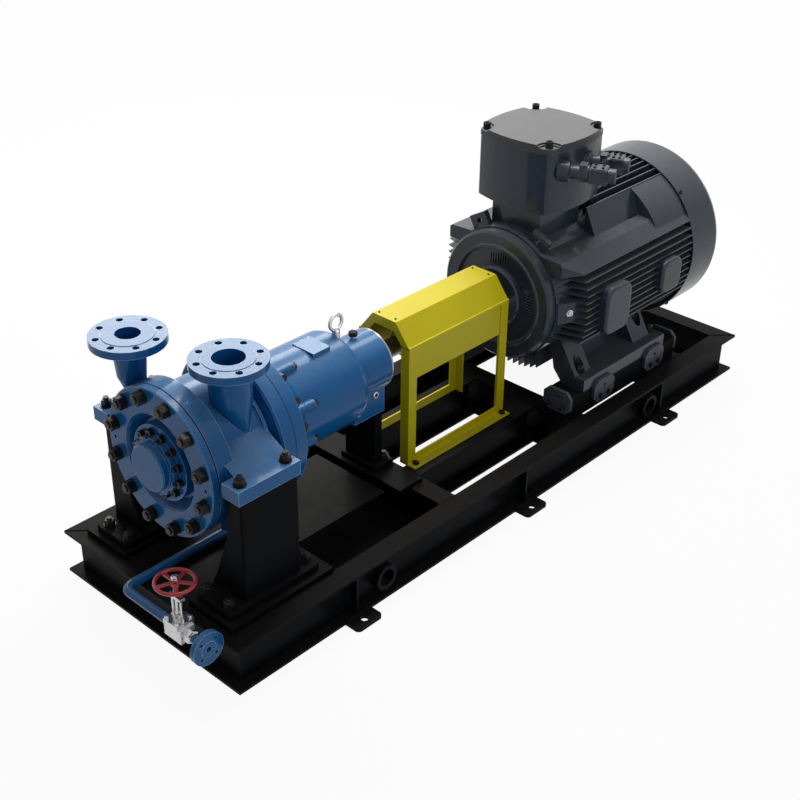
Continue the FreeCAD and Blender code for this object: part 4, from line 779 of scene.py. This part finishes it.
# %% [markdown]
# The cable glands end in split clamps. A paler plate closes each clamp,
# held by two screws. Both glands leave the terminal box at the same angle,
# and the second is a little smaller, so one helper works in a gland's own
# lengths: out from the box, to its side, and up.

# %% Clamp plates on the cable glands
CABLE_Y, CABLE_Z, CABLE_ANGLE = -180, 1060.0, math.radians(-64.0)
CLAMP_HALF, CLAMP_TOP, PLATE_TOP, SCREWS_OFF = 26, 25.5, 29.5, 15
OUT = Vector((math.cos(CABLE_ANGLE), math.sin(CABLE_ANGLE), 0))
SIDE = UP.cross(OUT)


def on_gland(x, out, side, height):
    """Point of the frame, from a gland's own lengths in millimetres."""
    return at(x, CABLE_Y, CABLE_Z) + (OUT * out + SIDE * side + UP * height) / 1000


def slab(low, high, place):
    """Bevelled slab between two corners of a gland's own lengths."""
    shape = bmesh.new()
    bmesh.ops.create_cube(shape, size=1.0)
    middle, reach = (low + high) / 2, high - low
    for corner in shape.verts:
        corner.co = Vector(a * b for a, b in zip(corner.co, reach)) + middle
    bmesh.ops.bevel(shape, geom=shape.edges[:], offset=1.2, segments=2, affect="EDGES", profile=0.5)
    for corner in shape.verts:
        corner.co = place(corner.co)
    bmesh.ops.recalc_face_normals(shape, faces=shape.faces)
    mesh = bpy.data.meshes.new("slab")
    shape.to_mesh(mesh)
    shape.free()
    return mesh


clamp_plates, clamp_seats = [], []
for gland_x, scale in ((1760.0, 1.0), (1891.0, 0.85)):
    near_end, far_end = 84 * scale, 136 * scale
    clamp_plates.append(slab(Vector((near_end, -CLAMP_HALF, CLAMP_TOP)), Vector((far_end, CLAMP_HALF, PLATE_TOP)),
                             lambda c, x=gland_x: on_gland(x, c.x, c.y, c.z)))
    clamp_seats += [(on_gland(gland_x, out, side, PLATE_TOP), UP)
                    for out in (near_end + 12, far_end - 12) for side in (-SCREWS_OFF, SCREWS_OFF)]
piece("clamp_plates", together(*clamp_plates), plate_paint, "skid", "plate_grey")
grown("clamp_screws", socket_tree, seats(clamp_seats), bolt_steel, "skid", "dark_fasteners",
      Radius=0.0052, Height=0.0045)

# %% [markdown]
# Behind the cowl's slots turns a fan. Nine flat blades stand between a
# hub and a back plate; a tree places them on a circle, each with its long
# side pointing away from the shaft and its width along it.

# %% The tree for fan blades
blades = Tree("fan_blades", Thickness=0.005, Width=0.07, Inner=0.07, Outer=0.28)
g = blades.given
reach = blades.calc("SUBTRACT", g["Outer"], g["Inner"])
size = blades.add("ShaderNodeCombineXYZ", {"X": g["Width"], "Y": g["Thickness"], "Z": reach})["Vector"]
blade = blades.add("GeometryNodeMeshCube", {"Size": size, "Vertices X": 2, "Vertices Y": 2, "Vertices Z": 3})["Mesh"]
blade = blades.moved(blade, blades.calc("ADD", g["Inner"], blades.calc("MULTIPLY", reach, 0.5)))
level = blades.add("FunctionNodeAlignRotationToVector", {"Rotation": blades.aimed(), "Vector": tuple(ALONG)},
                   axis="X", pivot_axis="Z")["Rotation"]
placed = blades.add("GeometryNodeInstanceOnPoints", {"Points": g["Geometry"], "Instance": blade,
                                                     "Rotation": level})["Instances"]
blade_tree = blades.done(placed)

# %% [markdown]
# The motor's rear end is closed by a shield with a hole for the shaft. Past
# it the hub and back plate of the fan are one turned piece on a stub of the
# shaft. The fan keeps over forty millimetres from the cowl and eight from
# the shield, and it turns with the rotor.

# %% The fan
SHIELD_X, FAN_X, BLADES = 2434.4, 2516.0, 9
end_shield = turned([(0, 32), (0, 316), (5, 324), (9, 324), (9, 300), (14, 150), (20, 120), (20, 32)],
                    at(SHIELD_X, 0, SHAFT_Z), ALONG, sides=96, ring=True)
piece("end_shield", end_shield, motor_paint, "skid", "motor_grey")
spokes = []
for i in range(BLADES):
    a = math.radians(i * 360 / BLADES)
    spokes.append((at(FAN_X, 0, SHAFT_Z), Vector((0, math.sin(a), math.cos(a)))))
fan = grown("fan_blades", blade_tree, seats(spokes), motor_paint, "rotor", "motor_grey",
            Thickness=0.005, Width=0.064, Inner=0.05, Outer=0.282)
hub = turned([(0, 0), (0, 24), (28, 24), (28, 52), (36, 54), (40, 60), (42, 284), (48, 284), (50, 62), (108, 58),
              (112, 50), (112, 0)], at(SHIELD_X, 0, SHAFT_Z), ALONG, 64)
piece("fan_hub", hub, motor_paint, "rotor", "motor_grey")
print("blades between x", reach_mm(fan, 0), "mm in the frame")

# %% [markdown]
# The skid and its pedestals are welded. A weld bead is a row of
# overlapping drops of metal along the joint, so its tree walks along a
# line, drops a flattened ball at every step and turns it to the line's
# direction. The drops differ a little in size, from a fixed seed.

# %% The tree for weld beads
welds = Tree("weld_bead", Size=0.004, Pitch=0.0042)
g = welds.given
line = welds.add("GeometryNodeMeshToCurve", {"Mesh": g["Geometry"]})["Curve"]
line = welds.add("GeometryNodeResampleCurve", {"Curve": line, "Length": g["Pitch"]}, mode="LENGTH")["Curve"]
tangent = welds.add("GeometryNodeInputTangent")["Tangent"]
along_line = welds.add("FunctionNodeAlignRotationToVector", {"Vector": tangent}, axis="Z")["Rotation"]
drop = welds.add("GeometryNodeMeshIcoSphere", {"Radius": g["Size"], "Subdivisions": 1})["Mesh"]
width = welds.chance(0.88, 1.1, 3)
stretch = welds.add("ShaderNodeCombineXYZ", {"X": width, "Y": width, "Z": 0.8})["Vector"]
weld_tree = welds.done(welds.add("GeometryNodeInstanceOnPoints", {
    "Points": line, "Instance": drop, "Rotation": along_line, "Scale": stretch})["Instances"])


def lines_of(paths):
    """Mesh of open lines, one for each list of points."""
    points, edges = [], []
    for path in paths:
        edges += [(len(points) + i, len(points) + i + 1) for i in range(len(path) - 1)]
        points += [tuple(p) for p in path]
    mesh = bpy.data.meshes.new("lines")
    mesh.from_pydata(points, edges, [])
    return mesh


# %% [markdown]
# The joints are listed where they are on the skid: around the lifting
# pipes, under the anchor lugs, beside their gussets, across the frame's
# mitred corners, and where the cross beams and columns stand.

# %% Weld beads of the skid
LUGS, LIFT_PIPES, CROSS_BEAMS, INNER_BEAMS = (487, 1324, 2161), (620, 2085), (950, 1672, 2315), (1024, 1672)
SKID_ENDS = ((0, 1), (2685, -1))
EDGE_Y, WEB_Y, INNER_Y, LUG_TOP_Z, PIPE_MIDDLE_Z, TOP_Z = 422.5, 388.7, 348.5, 12, 80, 160.0
PIPE_WELD_R, LUG_HALF, GUSSET_HALF, GUSSET_TOP_Z = 44, 48, 4, 150
PEDESTAL_OUTLINE = ((130, 253), (130, 312), (136, 318), (344, 318), (350, 312), (350, 253))
COLUMN_OUTLINE = ((925, 70), (925, -70), (960, -70), (960, 70), (925, 70))
paths = []
for side in BOTH_SIDES:
    for x in LIFT_PIPES:
        paths.append([at(x + PIPE_WELD_R * math.cos(a), side * WEB_Y, PIPE_MIDDLE_Z + PIPE_WELD_R * math.sin(a))
                      for a in [i * math.tau / 40 for i in range(41)]])
    for x in LUGS:
        paths.append([at(x - LUG_HALF, side * EDGE_Y, LUG_TOP_Z), at(x + LUG_HALF, side * EDGE_Y, LUG_TOP_Z)])
        paths += [[at(x + half, side * WEB_Y, z) for z in (LUG_TOP_Z, GUSSET_TOP_Z)]
                  for half in (-GUSSET_HALF, GUSSET_HALF)]
    for x in CROSS_BEAMS:
        paths.append([at(x + 2, side * INNER_Y, TOP_Z), at(x + 72, side * INNER_Y, TOP_Z)])
    for x, inward in SKID_ENDS:
        paths.append([at(x + inward * far, side * (EDGE_Y - far), TOP_Z) for far in (3, 72)])
    paths += [[at(x, side * 111, TOP_Z), at(x, side * 181, TOP_Z)] for x in INNER_BEAMS]
    paths.append([at(x, side * y, PEDESTAL_Z) for x, y in PEDESTAL_OUTLINE])
paths.append([at(x, y, SUPPORT_Z) for x, y in COLUMN_OUTLINE])
grown("weld_beads", weld_tree, lines_of(paths), skid_paint, "skid", "skid_black", Size=0.0032, Pitch=0.0034)

# %% [markdown]
# The room is plain: a pale floor that keeps the machine's shadow, a world
# that is white where the camera or a reflection looks at it and dim where
# it only lights. The floor grows whiter with distance, so no edge shows.

# %% World and floor
def seen_directly(tree):
    """1 where the camera, a reflection or clear matter looks, else 0."""
    ray = tree.nodes.new("ShaderNodeLightPath").outputs
    return calc(tree, "MAXIMUM", ray["Is Camera Ray"],
                calc(tree, "MAXIMUM", ray["Is Glossy Ray"], ray["Is Transmission Ray"]))


world = bpy.data.worlds.new("pale_room")
bpy.context.scene.world = world
world.use_nodes = True
tree = world.node_tree
tree.nodes.clear()
room = shader_node(tree, "ShaderNodeBackground", {"Color": (0.86, 0.92, 1.0, 1), "Strength": 0.25})
white = shader_node(tree, "ShaderNodeBackground", {"Color": (1, 1, 1, 1), "Strength": 1.0})
mixed = shader_node(tree, "ShaderNodeMixShader",
                    {0: seen_directly(tree), 1: room.outputs[0], 2: white.outputs[0]})
shader_node(tree, "ShaderNodeOutputWorld", {"Surface": mixed.outputs[0]})

floor_mesh = bpy.data.meshes.new("floor")
FLOOR_REACH, FLOOR_Z = 30.0, -0.0005
corners = [(x * FLOOR_REACH, y * FLOOR_REACH, FLOOR_Z) for x, y in ((-1, -1), (1, -1), (1, 1), (-1, 1))]
floor_mesh.from_pydata(corners, [], [(0, 1, 2, 3)])
floor = bpy.data.objects.new("studio_floor", floor_mesh)
bpy.context.collection.objects.link(floor)
pale = bpy.data.materials.new("floor_pale")
pale.use_nodes = True
tree = pale.node_tree
tree.nodes.clear()
plain = shader_node(tree, "ShaderNodeBsdfDiffuse", {"Color": (0.85, 0.85, 0.85, 1)})
glow = shader_node(tree, "ShaderNodeEmission", {"Color": (1, 1, 1, 1), "Strength": 1.0})
spot = shader_node(tree, "ShaderNodeTexCoord").outputs["Object"]
far_out = vector_calc(tree, "LENGTH", spot, result="Value")
whiter = shader_node(tree, "ShaderNodeMapRange", {
    "Value": far_out, "From Min": 2.5, "From Max": 9.0, "To Min": 0.93, "To Max": 1.0}).outputs["Result"]
mixed = shader_node(tree, "ShaderNodeMixShader", {
    0: calc(tree, "MULTIPLY", seen_directly(tree), whiter), 1: plain.outputs[0], 2: glow.outputs[0]})
shader_node(tree, "ShaderNodeOutputMaterial", {"Surface": mixed.outputs[0]})
floor_mesh.materials.append(pale)
print("floor reaches", FLOOR_REACH, "metres out")

# %% [markdown]
# The lamps are boxes at a plain level, so the paints come out about as they
# are written. The one at the back stands where the flat tops of the pump
# mirror it towards the camera, and the long one overhead draws a streak
# along the round housings. The one at the side only opens the shadows.

# %% Lamps
def softbox(name, place, aim, width, height, power, colour):
    """Box lamp at a place, turned to the point that it aims at."""
    lamp = bpy.data.lights.new(name, "AREA")
    lamp.shape, lamp.size, lamp.size_y = "RECTANGLE", width, height
    lamp.energy, lamp.color = power, colour
    made = bpy.data.objects.new(name, lamp)
    bpy.context.collection.objects.link(made)
    made.location = place
    made.rotation_mode = "QUATERNION"
    made.rotation_quaternion = (Vector(aim) - Vector(place)).to_track_quat("-Z", "Y")


softbox("back_softbox", (2.1, 4.4, 3.65), (-0.9, 0, 0.9), 3.2, 1.5, 135, (1.0, 0.98, 0.95))
softbox("top_softbox", (1.1, 0.75, 4.0), (1.1, 0.751, 0), 3.6, 1.2, 135, (1.0, 1.0, 1.0))
softbox("side_softbox", (-0.5, -4.5, 2.6), (0, 0, 0.5), 2.5, 2.0, 36, (0.95, 0.98, 1.0))
lamps = {item.name: item.data.energy for item in bpy.context.scene.objects if item.type == "LIGHT"}
print("lamps in watts:", lamps)

# %% [markdown]
# The camera stands where the photograph was taken from: in front of the
# pump and a little to its side, looking down over the whole skid. Its place
# and lens were fitted to the skid's corners.

# %% Camera
FOCAL_PIXELS, PICTURE_PIXELS = 1345.0, 800.0
CAMERA_AT = (-3.14875, -2.73847, 2.74868)
azimuth, elevation, roll = math.radians(-47.12), math.radians(30.87), math.radians(0.652)
right = Vector((math.cos(azimuth), math.sin(azimuth), 0))
back = Vector((math.sin(azimuth) * math.cos(elevation), -math.cos(azimuth) * math.cos(elevation),
               math.sin(elevation)))
up = back.cross(right)
right, up = (math.cos(roll) * right + math.sin(roll) * up, -math.sin(roll) * right + math.cos(roll) * up)
lens = bpy.data.cameras.new("camera")
lens.sensor_width = 36.0
lens.lens = lens.sensor_width * FOCAL_PIXELS / PICTURE_PIXELS
camera = bpy.data.objects.new("camera", lens)
bpy.context.collection.objects.link(camera)
camera.matrix_world = Matrix.Translation(CAMERA_AT) @ Matrix((right, up, back)).transposed().to_4x4()
bpy.context.scene.camera = camera
bpy.context.scene.view_settings.view_transform = "Standard"
print("lens of", round(lens.lens, 2), "mm at", CAMERA_AT)
